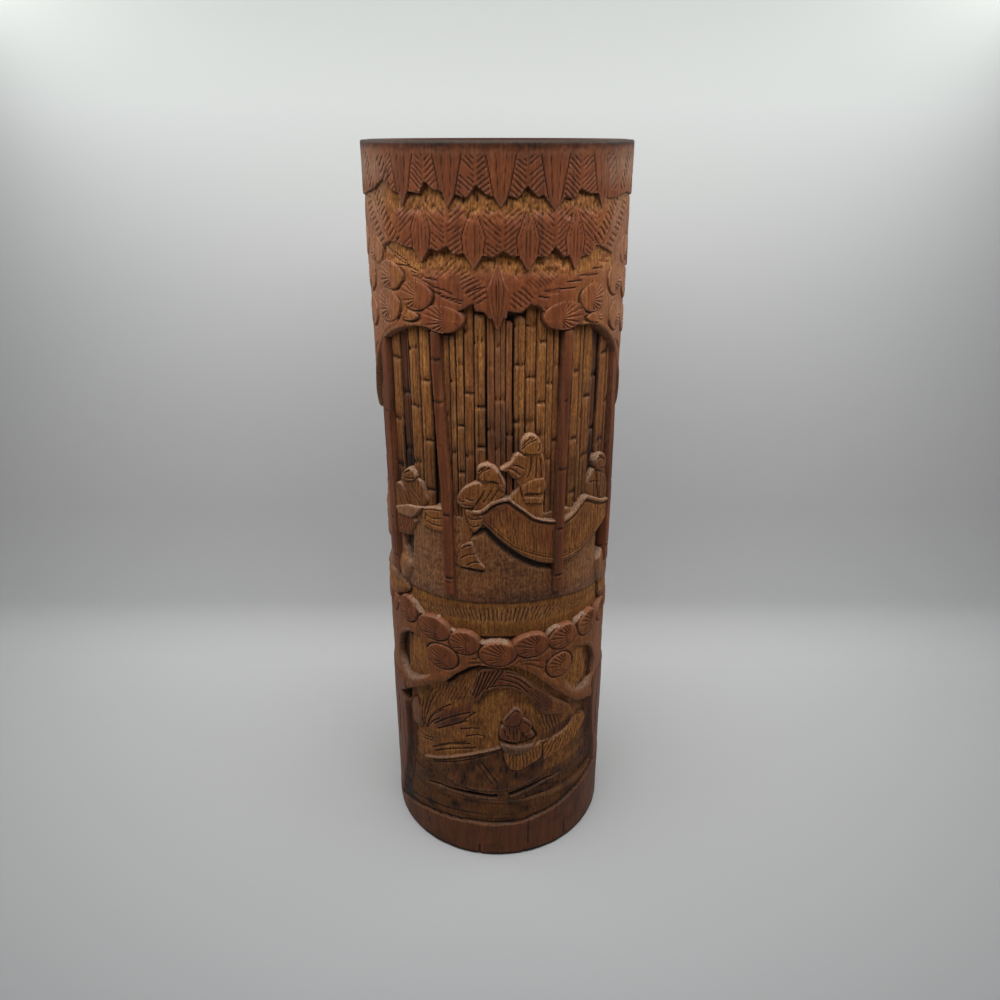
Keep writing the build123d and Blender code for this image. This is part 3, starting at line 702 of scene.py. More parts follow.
# Lower lance: one pointed leaf that hangs before the palm leaves, with four ribs.
lowerLance = {
    "u": (-5.0, 5.6),
    "z": (240.6, 266.0),
    "step": 0.28,
    "back": 6.6,
    "wear": 0.25,
    "dustAndTopLight": 0.1,
    "edge": 0.7,
    "middle": 0.2,
    "half": ([241.5, 247.6, 254.6, 260.5, 265], [0.25, 2.4, 3.6, 1.2, 0.1]),
    "ribs": (-0.6, -0.14, 0.14, 0.6),
}
lanceOutline = [(0.2, 265), (1.4, 260.5), (3.8, 254.6), (2.6, 247.6), (0.5, 241.5), (0, 241.5),
                (-2.2, 247.6), (-3.4, 254.6), (-1, 260.5)]


def carveLowerLance(u, z):
    inside = insideOutline(u, z, lanceOutline)
    half = np.interp(z, *lowerLance["half"])
    cuts = np.zeros(u.shape)
    for place in lowerLance["ribs"]:
        cuts = np.maximum(cuts, groove(np.abs(u - lowerLance["middle"] - place * half), 0.5, 0.26))
    depth = standing(inside, 0.0, 0.5, 0.1, 4.5) + cuts + 1.5 * fade(z, 256, 265)
    return {"depth": depth, "skin": 1.0 - 0.35 * fade(z, 259, 264)}


finishPiece("lowerLance", [carvedPatch(lowerLance, carveLowerLance)], stainedSkin,
            ["lower_lance"])


# Culm: plain foot, dark cove above it, sunken grounds behind the motifs, and the rim.
coveTop = 38
culm = {
    "u": (-sideArc, sideArc),
    "levels": np.concatenate([np.arange(0.8, coveTop, 0.6), np.arange(41, 292, 6),
                              np.arange(293, 299.2, 0.4)]),
    "step": 0.8,
    "back": boreDepth,
    "ring": True,
    "edge": 1.0,
    "wear": 0.3,
    "dustAndTopLight": 0.0,
    "footTop": ([-61.2, -47.3, -36.1, -23.8, -12.8, -0.9, 11.7, 25.3, 37.7, 55],
                [5.3, 12.1, 15.2, 17.3, 18.2, 18.1, 18.8, 21.2, 24.3, 27.9]),
    "ground": ([36, 40, 118, 121, 136, 139, 168, 171, 246, 251, 294.3, 296],
               [3.6, 5.2, 5.2, 5.0, 5.0, 5.6, 5.6, 4.9, 4.9, 2.6, 2.6, 3.4]),
    "cracks": [(-35.0, 8, 16), (14.4, 5, 19.5), (-8, 0, 6), (33, 2, 9)],
    "lowRows": [(boreDepth, 10.0), (6.2, 10.0), (6.2, 0.0), (0.8, 0.0)],
    "topRows": [(2.0, rimLevel - 0.4), (2.6, rimLevel), (8.0, rimLevel), (8.9, rimLevel - 0.3),
                (boreDepth, rimLevel - 1.2), (boreDepth, 200.0), (boreDepth, 100.0)],
}


def carveCulm(u, z):
    inCove = z < coveTop
    above = z - (np.interp(u, *culm["footTop"]) + 0.35 * softNoise(u, z, 6, 60, 41))
    ground = np.interp(z, *culm["ground"])
    hollow = 1.1 * fade(above, -0.2, 0.7) + 2.3 * fade(above, 1.5, 15) + 0.2 * softNoise(u, z, 9, 1.5, 42)
    hollow = hollow + 2 * fade(z, 29, 31)
    lines = groove(np.abs(above - 0.7), 1.6, 0.5) + groove(np.abs(above - 4.6), 1.6, 0.3) * fade(u, 20, -10)
    depth = np.where(inCove, hollow * fade(above, -0.4, 0.2) + lines, ground)
    for arc, low, high in culm["cracks"]:
        bent = np.abs(u - arc - 0.5 * softNoise(u, z, 30, 5, 43))
        depth += groove(bent, 0.9, 0.9) * (z > low) * (z < high)
    grove = fade(z, 168, 172) * (1 - fade(z, 248, 252))
    rim = 0.85 * fade(z + 0.4 * softNoise(u, z, 1.6, 1.5, 44), 297.4, 298.4)
    # The deep ground behind the grove is painted dark: dirt, and painted shade between the stalks.
    sootAndShade = rim + 0.6 * fade(-z, -2.4, -0.4) + 0.8 * grove
    blotch = fade(softNoise(u, z, 7, 5, 45), 0.0, 0.7)
    coveSoot = 0.45 + (0.22 + 0.15 * blotch) * fade(above, -0.5, 0.8) + 0.15 * blotch
    coveSkin = 0.88 - 0.45 * fade(above, -0.2, 1.5) * (1 - 0.5 * blotch)
    sootAndShade = sootAndShade + np.where(inCove, coveSoot, 0)
    skin = np.where(inCove, coveSkin, np.where(z > 294, 1.0, 0.3))
    return {"depth": depth, "skin": skin, "sootAndShade": sootAndShade}


finishPiece("culm", [carvedPatch(culm, carveCulm)], stainedSkin, ["culm"])


# Bamboo grove: flat-fronted stalks as arc, width, front depth, stain, top level and the levels of their
# node cuts.
groveStalks = {
    "step": 0.4,
    "rise": 0.95,
    "low": 166.0,
    "headroom": 1.2,
    "margin": 0.25,
    "back": 6.0,
    "edge": 0.7,
    "wear": 0.3,
    "dustAndTopLight": 0.15,
    "jointDrop": 1.1,
    "nodeCut": (0.9, 0.7),
    "crownDrop": 2.4,
}
stalkPlan = [
    (-73.0, 5.2, 2.7, 0.5, 211.5, (190, 201)),
    (-67.6, 5.2, 2.6, 0.8, 217.5, (182, 203)),
    (-62.2, 5.2, 2.7, 0.3, 225.5, (196, 214)),
    (-57.0, 4.8, 2.8, 0.5, 230.5, (188, 210)),
    (-51.8, 4.9, 2.6, 0.8, 235.5, (201, 222)),
    (-46.3, 5.9, 2.7, 0.35, 239.3, (184, 203, 226.6)),
    (-40.6, 5.0, 3.4, 0.95, 238.9, (192, 214)),
    (-34.9, 5.6, 2.7, 0.18, 243.1, (188, 210.5, 231.7)),
    (-29.0, 5.3, 2.6, 0.12, 243.5, (178, 197.9, 220.7)),
    (-20.1, 3.4, 2.7, 0.5, 238.6, (181, 209)),
    (-17.1, 2.3, 2.6, 0.15, 238.9, (195, 222)),
    (-14.3, 3.1, 2.6, 0.1, 252, (187.5, 205.6, 228)),
    (-10.7, 3.8, 2.6, 0.4, 252, (194.6, 218.1, 240.2)),
    (-6.4, 4.1, 2.5, 0.1, 246.2, (198, 213.3, 236.5)),
    (-2.3, 2.9, 2.7, 0.7, 252, (205, 228)),
    (0.2, 2.0, 2.6, 0.55, 252, (197.5, 216.3, 234.8, 241.6)),
    (2.2, 2.0, 2.7, 0.75, 252, (191, 216.3)),
    (4.6, 2.5, 2.7, 0.65, 243.6, (203, 226)),
    (8.4, 4.1, 2.5, 0.1, 245.0, (207.9, 228.6, 242.2)),
    (12.6, 4.0, 2.6, 0.15, 252, (207.1, 223.8, 242)),
    (16.8, 3.9, 2.5, 0.1, 252, (202.1, 214.3, 235.9)),
    (20.3, 2.8, 2.6, 0.2, 242.9, (192, 221)),
    (23.0, 2.4, 2.6, 0.3, 243.2, (199, 227)),
    (32.0, 4.4, 2.6, 0.18, 243.1, (176, 197.9, 223.4)),
    (35.3, 1.9, 2.8, 0.3, 242.5, (206,)),
    (38.8, 4.9, 2.6, 0.2, 242.8, (190, 213.3)),
    (44.2, 4.4, 3.8, 0.95, 239.5, (199, 220)),
    (50.0, 6.4, 2.7, 0.55, 237.7, (193, 227.5)),
    (56.4, 5.2, 2.7, 0.35, 232.5, (185, 208)),
    (62.0, 5.2, 2.8, 0.8, 225.5, (195, 212)),
    (67.6, 5.2, 2.7, 0.4, 217.5, (187, 205)),
    (73.0, 5.2, 2.7, 0.6, 211.5, (190, 200)),
]


def carveStalk(arc, width, front, stain, top, nodes):
    def carve(u, z):
        lean = arc + 0.2 * softNoise(u * 0 + arc, z, 5, 28, 51)
        joint = front + groveStalks["jointDrop"]
        across = np.clip(np.abs(u - lean) / (width / 2), 0, 1)
        depth = front + 0.25 * across**2 + (joint - front) * across**14 + 0.14 * softNoise(u, z, 0.8, 22, 52)
        depth += strokes(u - lean + 0.5 * width + 0.15 * softNoise(u, z, 3, 30, 58), width / 2.6, 0.6, 0.2)
        for level in nodes:
            above = z - level - 0.1 * (u - arc) - 0.25 * np.cos(across * 2)
            swelling = 0.3 * fade(above, 3.5, 0.4) * (above > 0)
            depth += groove(np.abs(above), *groveStalks["nodeCut"]) + swelling
        crown = z - top - 0.5 * softNoise(u, z, 2, 30, 54)
        depth = depth + groveStalks["crownDrop"] * fade(crown, -0.3, 0.8)
        tone = stain + 0.22 * softNoise(u, z, 1.2, 26, 53) + 0.25 * fade(z, 216, 184)
        # The stalks' tops are painted dark: painted shadow under the canopy.
        sootAndShade = 0.4 * fade(across, 0.86, 1) + 0.7 * fade(crown, -0.2, 0.6)
        smudge = fade(-np.hypot((u - 1) / 17, (z - 204) / 14), -1.1, -0.2)
        spots = fade(softNoise(u, z, 2.5, 9, 57), 0.2, 0.7)
        sootAndShade = sootAndShade + 0.22 * spots + 0.45 * smudge + 0.36 * fade(z, 212, 178)
        sootAndShade = sootAndShade + 0.16 * fade(abs(arc), 28, 42) + 0.4 * fade(front, 3, 3.4)
        return {"depth": depth, "skin": np.clip(tone, 0.03, 1), "sootAndShade": sootAndShade}
    return carve


stalks = []
for stalk in stalkPlan:
    arc, width, _, _, top, _ = stalk
    levels = np.arange(groveStalks["low"], top + groveStalks["headroom"], groveStalks["rise"])
    reach = (arc - width / 2 - groveStalks["margin"], arc + width / 2 + groveStalks["margin"])
    stalks.append(carvedPatch(dict(groveStalks, u=reach, levels=levels), carveStalk(*stalk)))
finishPiece("groveStalks", stalks, chiselledFibre, ["grove_stalks"])


# Front posts: tall stalks left near the skin's level, as width, the line they follow, and their node rings.
frontPosts = {"levels": np.arange(136.4, 242, 0.85), "step": 0.35, "margin": 0.8, "back": 5.8, "edge": 0.7,
              "wear": 0.12, "dustAndTopLight": 0.02}
postPlan = [
    (5.4, ([137, 230], [-51.7, -52.5]), (160, 205)),
    (4.1, ([137, 180, 200, 225, 243], [-19.9, -20.2, -21.4, -22.6, -22.8]), (170.3, 198, 214.7, 229.9)),
    (4.1, ([137, 176, 225, 243], [25.7, 25.4, 26.6, 27.0]), (163.5, 188.3, 214.2)),
    (5.6, ([137, 160, 192, 225], [62, 62, 59, 59]), (172, 210)),
]


def carvePost(width, route, nodes):
    def carve(u, z):
        middle = np.interp(z, *route)
        inside = width / 2 - np.abs(u - middle)
        depth = standing(inside, 0.25, 1.0, 0.45, 7) + 0.1 * softNoise(u, z, 0.8, 40, 55)
        depth = depth + 0.4 * fade(z, 190, 215)
        for level in nodes:
            above = z - level - 0.15 * np.cos((u - middle) * 1.2)
            depth += groove(np.abs(above), 0.8, 0.45) * (inside > 0)
        collars = groove(np.abs(z - 143.4), 1.2, 0.9) + groove(np.abs(z - 141.4), 0.8, 0.3)
        depth += collars + 1.5 * fade(z, 239.4, 240.6)
        streak = fade(softNoise(u, z, 1.1, 30, 56), -0.1, 0.6)
        return {"depth": depth, "skin": 1.0, "sootAndShade": 0.2 + 0.3 * streak}
    return carve


posts = []
for post in postPlan:
    width, (_, arcs), _ = post
    reach = (min(arcs) - width / 2 - frontPosts["margin"], max(arcs) + width / 2 + frontPosts["margin"])
    posts.append(carvedPatch(dict(frontPosts, u=reach), carvePost(*post)))
finishPiece("frontPosts", posts, stainedSkin, ["front_posts"])


# Canopy arch: the skin left standing over the grove at the sides, with a smooth bead along its lower edge.
canopyArch = {
    "u": (40.0, sideArc),
    "z": (196.0, 264.0),
    "step": 0.6,
    "back": 6.0,
    "wear": 0.3,
    "dustAndTopLight": 0.1,
    "edgeLine": ([40, 45, 50, 54, 58, 63, 70, sideArc], [239.4, 237.2, 233.8, 230, 225, 218, 208, 199.5]),
    "edgeSlope": ([40, 50, 60, sideArc], [0.4, 0.8, 1.4, 1.4]),
    "beadHalf": 1.4,
}
# Half of a leaf on the side line, and its vein.
sideLeaf = [(sideArc, 261), (72.6, 252), (71.2, 243), (72.6, 232), (sideArc, 214)]
sideVein = [(sideArc, 258), (sideArc, 218)]


def carveArch(side):
    def carve(u, z):
        away = u * side
        edge = np.interp(away, *canopyArch["edgeLine"]) + 0.4 * softNoise(u, z, 5, 40, 61)
        slant = 1 / np.sqrt(1 + np.interp(away, *canopyArch["edgeSlope"]) ** 2)
        above = (z - edge) * slant
        bead = np.clip(1 - np.abs(above - canopyArch["beadHalf"]) / canopyArch["beadHalf"], 0, 1)
        depth = standing(above, 0.75, 0.8, 0.4, 5) - 0.5 * np.sqrt(bead) * (above > 0)
        depth += combCuts(u, z, (side * 58, 240), (side * 70, 220), 3.4, 2.1, 0.5) * fade(above, 3, 4)
        depth += groove(np.abs(above - 3.2), 0.9, 0.5)
        depth += foldCuts(away, z, [sideLeaf, sideVein], 1.2, 0.6)
        return {"depth": depth, "skin": 0.7 + 0.15 * softNoise(u, z, 5, 5, 62)}
    return carve


leftArch = carvedPatch(dict(canopyArch, u=(-sideArc, -canopyArch["u"][0])), carveArch(-1))
rightArch = carvedPatch(canopyArch, carveArch(1))
finishPiece("canopyArch", [leftArch, rightArch], stainedSkin, ["canopy_arch"])


# Pine clumps of the canopy lie like scales: each is proud along its undercut edge and flush with the leaves
# opposite.
pineBoughs = {"step": 0.3, "margin": 0.8, "back": 5.9, "edge": 0.7, "wear": 0.25, "dustAndTopLight": 0.1,
              "needleTurn": 14, "needleWidth": 0.75, "needleDepth": 0.5}


def boughArea(look, bough):  # the patch that holds one clump
    arc, level, halfWide, halfHigh = bough[:4]
    margin = look["margin"]
    reach = (arc - halfWide - margin, arc + halfWide + margin)
    return dict(look, u=reach, z=(level - halfHigh - margin, level + halfHigh + margin))


def needleCuts(u, z, source, look):
    return fanStrokes(u, z, source, look["needleTurn"], look["needleWidth"], look["needleDepth"])


def carveBough(arc, level, halfWide, halfHigh, stain, side):
    def carve(u, z):
        x, y, away, _ = overlap(u, z, arc, level, halfWide, halfHigh, side)
        inside = (1 - away) * min(halfWide, halfHigh) + 0.12 * softNoise(u, z, 2.5, 2.5, 71)
        tilt = 0.14 - 0.16 * (0.7 * side * x - 0.7 * y)
        source = (arc + 0.35 * side * halfWide, level - 0.15 * halfHigh)
        needles = needleCuts(u, z, source, pineBoughs)
        needles *= (1 - fade(away, 0.88, 0.97)) * fade(-side * x, -0.3, 0.0)
        needles *= fade(np.hypot(u - source[0], z - source[1]), 1.6, 2.8)
        depth = tilt + 0.12 * fade(away, 0.8, 1.0) + 5.0 * np.clip(-inside, 0, None) + needles
        tone = stain + 0.15 * softNoise(u, z, 2.2, 14, 72)
        # Towards the sides the clumps are painted paler: a painted sheen.
        return {"depth": depth, "skin": tone, "rubAndHighlight": 0.22 * fade(np.abs(u), 36, 48)}
    return carve


boughs = []
for bough in boughPlan:
    boughs.append(carvedPatch(boughArea(pineBoughs, bough), carveBough(*bough)))
finishPiece("pineBoughs", boughs, stainedSkin, ["pine_boughs"])


# Terrain and bank: stippled ground under the boat, a hatched slope below it, and rocks at the sides.
terrain = {"u": (-sideArc, sideArc), "z": (117.0, 173.0), "step": 0.5, "back": 6.2, "ring": True,
           "wear": 0.3, "dustAndTopLight": 0.3}
rockPlan = [
    ([(-53.2, 139.5), (-47, 145.5), (-43.3, 144.2), (-40.8, 141.1), (-45.2, 133.1), (-52, 135.7)], 1.4),
    ([(-84, 132), (-64, 131.4), (-56, 133.8), (-49.5, 134.7), (-43.1, 130.4), (-48, 126), (-53, 123.7),
      (-63, 117), (-84, 117)], 1.0),
    ([(52, 139.4), (56, 142.5), (60, 141), (64, 134), (60.9, 125.1), (54, 129)], 1.3),
    ([(57, 128), (63, 133), (72, 134), (84, 133), (84, 117), (60, 118)], 1.0),
    ([(-84, 163), (-74, 163.6), (-67, 160), (-62, 152), (-64, 145), (-84, 143)], 1.7),
    ([(84, 163), (76, 163.6), (71, 159), (67, 151), (69, 145), (84, 143)], 1.7),
]
leftSlot = [(-45.8, 154), (-39.3, 156.2), (-40.7, 142), (-45.8, 149.2)]
rightSlot = [(50.3, 153.3), (58.7, 154.4), (64, 156), (61, 143.3), (51.9, 140)]
boatShadow = [(-11.5, 163.6), (-7, 165.6), (-4.4, 166.2), (0, 161), (5.2, 156.6), (11.2, 152.4),
              (16.4, 149.8), (23, 147.8)]
footShadow = [(-17, 148.6), (-12.5, 147.9), (-6, 147)]
# The bank's lines as arcs and their levels: its upper edge, and the top and foot of its hatching.
bankEdge = ([-60, -40, -24, 0, 14, 27, 46, 60], [131, 132.6, 132.8, 133.4, 132.9, 132.2, 129.5, 128])
bankHatchTop = ([-42, -34.6, -20.8, -9.8, 8.3, 21.1, 36.7, 44],
                [125, 126.8, 128.4, 129.7, 129.9, 129, 126.7, 125])
bankHatchFoot = ([-34, -30.5, -16.2, -0.8, 14.6, 28.5, 34], [123.4, 124, 125, 125.2, 124.6, 124, 123.4])


def carveTerrain(u, z):
    edge = np.interp(u, *bankEdge)
    top = 170.5 + 1.6 * softNoise(u, z, 5, 60, 81)
    grain = 0.13 * softNoise(u, z, 0.8, 0.9, 82) + 0.14 * softNoise(u, z, 2.5, 2.5, 83)
    slope = 1 - fade(z, edge - 0.8, edge + 0.3)
    level = 1 - slope
    depth = 2.5 + grain * level + slope * (0.3 + 0.03 * np.clip(edge - z, 0, 14))
    fan = u * (1 - 0.025 * (z - 126)) + 0.35 * softNoise(u, z, 4, 4, 84)
    hatch = strokes(fan, 1.75, 1.2, 0.5) * fade(softNoise(u, z, 2, 5, 87), -0.9, -0.5)
    hatchTop = np.interp(u, *bankHatchTop)
    hatchFoot = np.interp(u, *bankHatchFoot)
    inHatch = fade(z, hatchFoot - 1.8, hatchFoot - 0.2) * (1 - fade(z, hatchTop - 0.4, hatchTop + 1.2))
    depth += hatch * inHatch
    depth += 2.6 * fade(z, top - 0.3, top + 0.8)
    for outline, front in rockPlan:
        rock = standing(insideCurve(u, z, outline), front, 3.2, 0.9, 4.0)
        depth = np.minimum(depth, rock + 0.25 * softNoise(u, z, 2.5, 2.5, 85))
    slot = fade(np.maximum(insideOutline(u, z, leftSlot), insideOutline(u, z, rightSlot)), -0.4, 0.6)
    depth += 2.4 * slot
    under = nearLine(u, z, boatShadow)
    depth += 1.6 * fade(-under, -3.4, -0.6) + groove(nearLine(u, z, footShadow), 1.5, 1.6)
    # Below the hull the ground is painted nearly black: a painted shadow of the boat.
    sootAndShade = 0.6 * slot + 0.85 * fade(-under, -2.6, -0.9) + 0.25 * groove(np.abs(z - edge + 0.4), 2.2, 1)
    dim = fade(u, -12, 8) * (1 - fade(u, 16, 40)) * level
    sootAndShade = sootAndShade + 0.08 * level + 0.28 * dim + 0.25 * (1 - fade(z, edge, edge + 7)) * level - 0.15 * inHatch
    sootAndShade = sootAndShade + slope * (0.12 + 0.25 * (1 - fade(z, hatchFoot - 6, hatchFoot - 1)))
    skin = 0.4 - 0.3 * slope + 0.3 * (1 - fade(z, edge + 1, edge + 9)) * level
    skin = skin + 0.14 * softNoise(u, z, 6, 6, 86)
    film = (0.1 + 0.16 * fade(-u, 14, 30) + 0.12 * fade(u, 24, 40)) * level + 0.08 * inHatch
    return {"depth": depth, "skin": np.clip(skin, 0.05, 1), "sootAndShade": sootAndShade, "rubAndHighlight": film}


finishPiece("terrain", [carvedPatch(terrain, carveTerrain)], chiselledFibre, [])


# Boat: crescent hull with a broad pale gunwale at its ends, a thin one between them, and a double keel line.
boat = {"u": (-12.0, 64.0), "z": (146.0, 182.0), "step": 0.38, "back": 5.9, "wear": 0.35, "dustAndTopLight": 0.3,
        "edge": 0.7}
boatHull = [(-6.1, 171.5), (-2.2, 174.6), (2, 176.6), (5.2, 177), (7.6, 174.8), (11.1, 172), (14.2, 169.6),
            (18.4, 167.6), (23, 166.6), (28, 166), (33, 167.5), (38.2, 171.4), (41.5, 171.4), (48.2, 168.4),
            (56, 165.4), (62, 163), (63.4, 157.6), (54.3, 156), (47.7, 154), (42.5, 152), (38.1, 150.1),
            (33.4, 149), (28.9, 148.6), (22.9, 148.8), (16.9, 150.6), (11.8, 153.2), (6, 157.2),
            (0.8, 161.6), (-3, 165.6), (-5.7, 168.2)]
boatKeel = [(-5.6, 169.6), (-2.2, 166.4), (2, 162.4), (5.9, 159), (9.5, 156.8), (16.8, 153.4),
            (23.3, 151.2), (29, 150.6), (34, 151.2), (40, 153), (46, 155.4)]
# Gunwale as half widths and lines: left end, middle and right end.
boatRails = [
    (0.65, [(-9.1, 172.9), (-5.9, 173.4), (-2.2, 176.5), (1.6, 178), (4.9, 178.4)]),
    (0.42, [(4.9, 178), (7.5, 175.7), (10.9, 173), (13.6, 170.6), (16.3, 169.1), (21.5, 167.4), (26, 166.6)]),
    (0.7, [(26.6, 166), (31.6, 167.8), (34.8, 170), (38.6, 172.8), (42.4, 171.6), (46.8, 169.4), (52.4, 167),
           (60, 165)]),
]


def carveBoat(u, z):
    hull = insideCurve(u, z, boatHull)
    keel = nearCurve(u, z, boatKeel)
    depth = standing(hull, 1.25, 0.7, 0.25, 5) + groove(keel, 0.7, 0.4) * (hull > 0)
    depth += groove(np.abs(keel - 1.1), 0.5, 0.22) * (hull > 0)
    planks = strokes(u + 0.06 * z + 0.5 * softNoise(u, z, 2.5, 4, 93), 1.15, 0.65, 0.27)
    planks = planks * fade(softNoise(u, z, 0.9, 3.5, 94), -0.5, 0)
    depth += planks * fade(hull, 1.6, 2.4)
    rail = np.max([half - nearCurve(u, z, line) for half, line in boatRails], axis=0)
    depth = np.minimum(depth, standing(rail, 0.7, 0.4, 0.2, 5))
    depth += groove(np.abs(rail + 1.0), 0.7, 0.4) * (hull > 0.3)
    onRail = fade(rail, -0.1, 0.4)
    skin = 0.55 + 0.4 * softNoise(u, z, 4, 10, 92) - 0.25 * fade(u, 26, 32) - 0.15 * onRail
    # Round the outside of the hull its wall is painted dark: painted shadow under the hull's edge.
    sootAndShade = 0.08 * (1 - onRail) + 0.4 * fade(-hull, -1.6, -0.6) * (1 - onRail)
    return {"depth": depth, "skin": np.clip(skin, 0.05, 1), "sootAndShade": sootAndShade, "rubAndHighlight": 0.2 * onRail}


finishPiece("boat", [carvedPatch(boat, carveBoat)], chiselledFibre, ["boat"])


# Robed figures: flat layers of cloth with sharp edges and fold cuts, and plain hooded heads.
def addFigure(name, node, figure, shapes, folds):
    def carve(u, z):
        depth = layered(u, z, shapes) + foldCuts(u, z, folds, 0.8, 0.5)
        depth = depth + 0.1 * softNoise(u, z, 1.1, 3, 96)
        tone = figure["stain"] + 0.22 * softNoise(u, z, 2.2, 4, 95)
        return {"depth": depth, "skin": np.clip(tone, 0, 1), "sootAndShade": figure["sootAndShade"]}
    finishPiece(name, [carvedPatch(figure, carve)], chiselledFibre, [node])


figurePatch = {"step": 0.31, "back": 5.9, "edge": 0.7, "wear": 0.45, "dustAndTopLight": 0.35}
bendingFigure = dict(figurePatch, u=(-18.0, 4.6), z=(146.6, 194.0), stain=0.55, sootAndShade=0.12)
bendingShapes = [
    ([(-13.2, 174.4), (-9, 174.6), (-9.6, 166), (-11.4, 160), (-13.8, 159), (-14, 168)], 2.1, 0.8, 0.3),
    ([(-14.8, 157.3), (-12.5, 159.3), (-10.1, 159.4), (-8.6, 155.2), (-7.3, 151.9), (-5.1, 148.4),
      (-11.1, 148.6), (-16.4, 149.3), (-15.1, 154.8)], 1.6, 0.7, 0.25),
    ([(-12.5, 173.4), (-9.2, 172.8), (-6, 171.6), (-5.4, 168.6), (-8.7, 164.4), (-10.4, 165.4),
      (-11.9, 169.9)], 1.2, 1.0, 0.4),
    ([(-15.5, 178.5), (-13.6, 181.5), (-11, 183.5), (-8.2, 184.7), (-5.9, 184.3), (-4.9, 181.7),
      (-7.7, 177.1), (-9.2, 174.9), (-13.8, 174.7), (-15.5, 176.3)], 1.0, 0.8, 0.25),
    ([(-5.9, 184.3), (-0.7, 185.7), (0.8, 183.2), (3, 183.6), (2.2, 179.6), (-2.2, 176.4), (-5.1, 174),
      (-9, 174), (-7.7, 177.1)], 1.35, 0.8, 0.3),
    ([(-7.7, 189.5), (-6.9, 191.5), (-4.6, 192.4), (-2.1, 191.9), (0.3, 189.8), (2, 187.1), (3.1, 184),
      (2.4, 181.4), (0.8, 182.7), (-0.7, 185.5), (-5.5, 185.1), (-7, 187.2)], 0.7, 1.4, 0.5),
]
bendingFolds = [
    [(-7.2, 187.4), (-5.4, 189.6), (-2.8, 191)],
    [(-6.9, 189.4), (-5.6, 190.6)],
    [(-5.8, 189.9), (-4.4, 191.4)],
    [(-5.4, 185.9), (-2.6, 185.7), (0.6, 184.6)],
    [(0.4, 188.6), (1.2, 186.6), (1.4, 184.8)],
    [(-4.9, 181.7), (-6.6, 178.6), (-8.5, 175.9)],
    [(-2.4, 181.8), (-3.8, 179.2), (-5.3, 177)],
    [(0.1, 181.8), (-1.2, 179.6), (-2.2, 177.8)],
    [(-13.5, 175.8), (-11.4, 175.2), (-9.2, 175.4)],
    [(-12, 178.4), (-10.6, 177.6), (-9, 177.8)],
    [(-15.1, 177.4), (-14, 176.8), (-12.9, 176.8)],
    [(-11.6, 170.8), (-9.9, 169.6), (-6.2, 170.3)],
    [(-11.7, 168), (-9.5, 166.6), (-7.1, 167.3)],
    [(-14.6, 156.4), (-12.8, 157.7), (-10.7, 158.4)],
    [(-14.4, 152.6), (-11.7, 154.3), (-8.8, 154.8)],
    [(-12.4, 149.6), (-9.7, 151.2), (-7.3, 151.2)],
]
addFigure("bendingFigure", "bending_figure", bendingFigure, bendingShapes, bendingFolds)

standingFigure = dict(figurePatch, u=(0.0, 20.0), z=(167.0, 205.0), stain=0.4, sootAndShade=0.08)
standingShapes = [
    ([(5.2, 178.6), (7.4, 181.6), (9.1, 184), (13, 185.6), (18.3, 185), (18.4, 176), (18.2, 168.6),
      (13.7, 170.8), (9.2, 174.6)], 1.7, 0.8, 0.3),
    ([(10.7, 195.6), (17.4, 195.2), (18.5, 184.4), (13, 185), (9.1, 183), (7.4, 186), (9.9, 189)],
     1.4, 0.9, 0.35),
    ([(1.2, 190.3), (4.9, 192.8), (7.6, 196.2), (10.7, 194.6), (10.9, 191), (9.9, 188), (7, 186.4),
      (3.6, 189.2)], 1.0, 0.7, 0.25),
    ([(9.1, 183), (10.8, 184.4), (13, 185.4), (18.2, 185.4), (18.2, 180), (11.4, 180.4), (10.2, 179)],
     0.95, 0.8, 0.3),
    ([(10.4, 179.2), (14, 178.8), (17.8, 178.3), (17.6, 175.2), (11.4, 175.8), (10.6, 177.3)],
     1.15, 0.7, 0.3),
    ([(8.9, 197.2), (8.9, 199.3), (9.4, 201.4), (11, 202.9), (12.7, 203.5), (15.3, 201.9), (17, 198.8),
      (16.7, 195.4), (13.2, 195.1), (10.4, 195.6)], 0.8, 1.4, 0.5),
]
standingFolds = [
    [(3.6, 189.5), (5.2, 188.2), (7, 186.7)],
    [(4.5, 190.7), (6.5, 189.8), (8.6, 187.9)],
    [(6.1, 191.9), (8, 191.4), (9.9, 190.2)],
    [(12.8, 194.3), (12.7, 190), (11.6, 186.6)],
    [(14.8, 193.7), (15, 190), (14.9, 186.2)],
    [(16.5, 193.5), (17, 190), (17.2, 185.9)],
    [(10.5, 179), (14, 178.6), (17.6, 178.1)],
    [(11.2, 176.2), (14, 175.7), (17.2, 175.5)],
    [(10.6, 196.1), (13.2, 195.6), (15.4, 195.7)],
    [(9.2, 197.8), (11.2, 199.9), (14.6, 201.2)],
    [(9.6, 199.4), (11, 201.4)],
    [(10.9, 200.5), (12.2, 202.4)],
    [(12.6, 201.2), (13.6, 202.2)],
    [(15.8, 199.6), (16, 198), (15.4, 196.6)],
]
addFigure("standingFigure", "standing_figure", standingFigure, standingShapes, standingFolds)

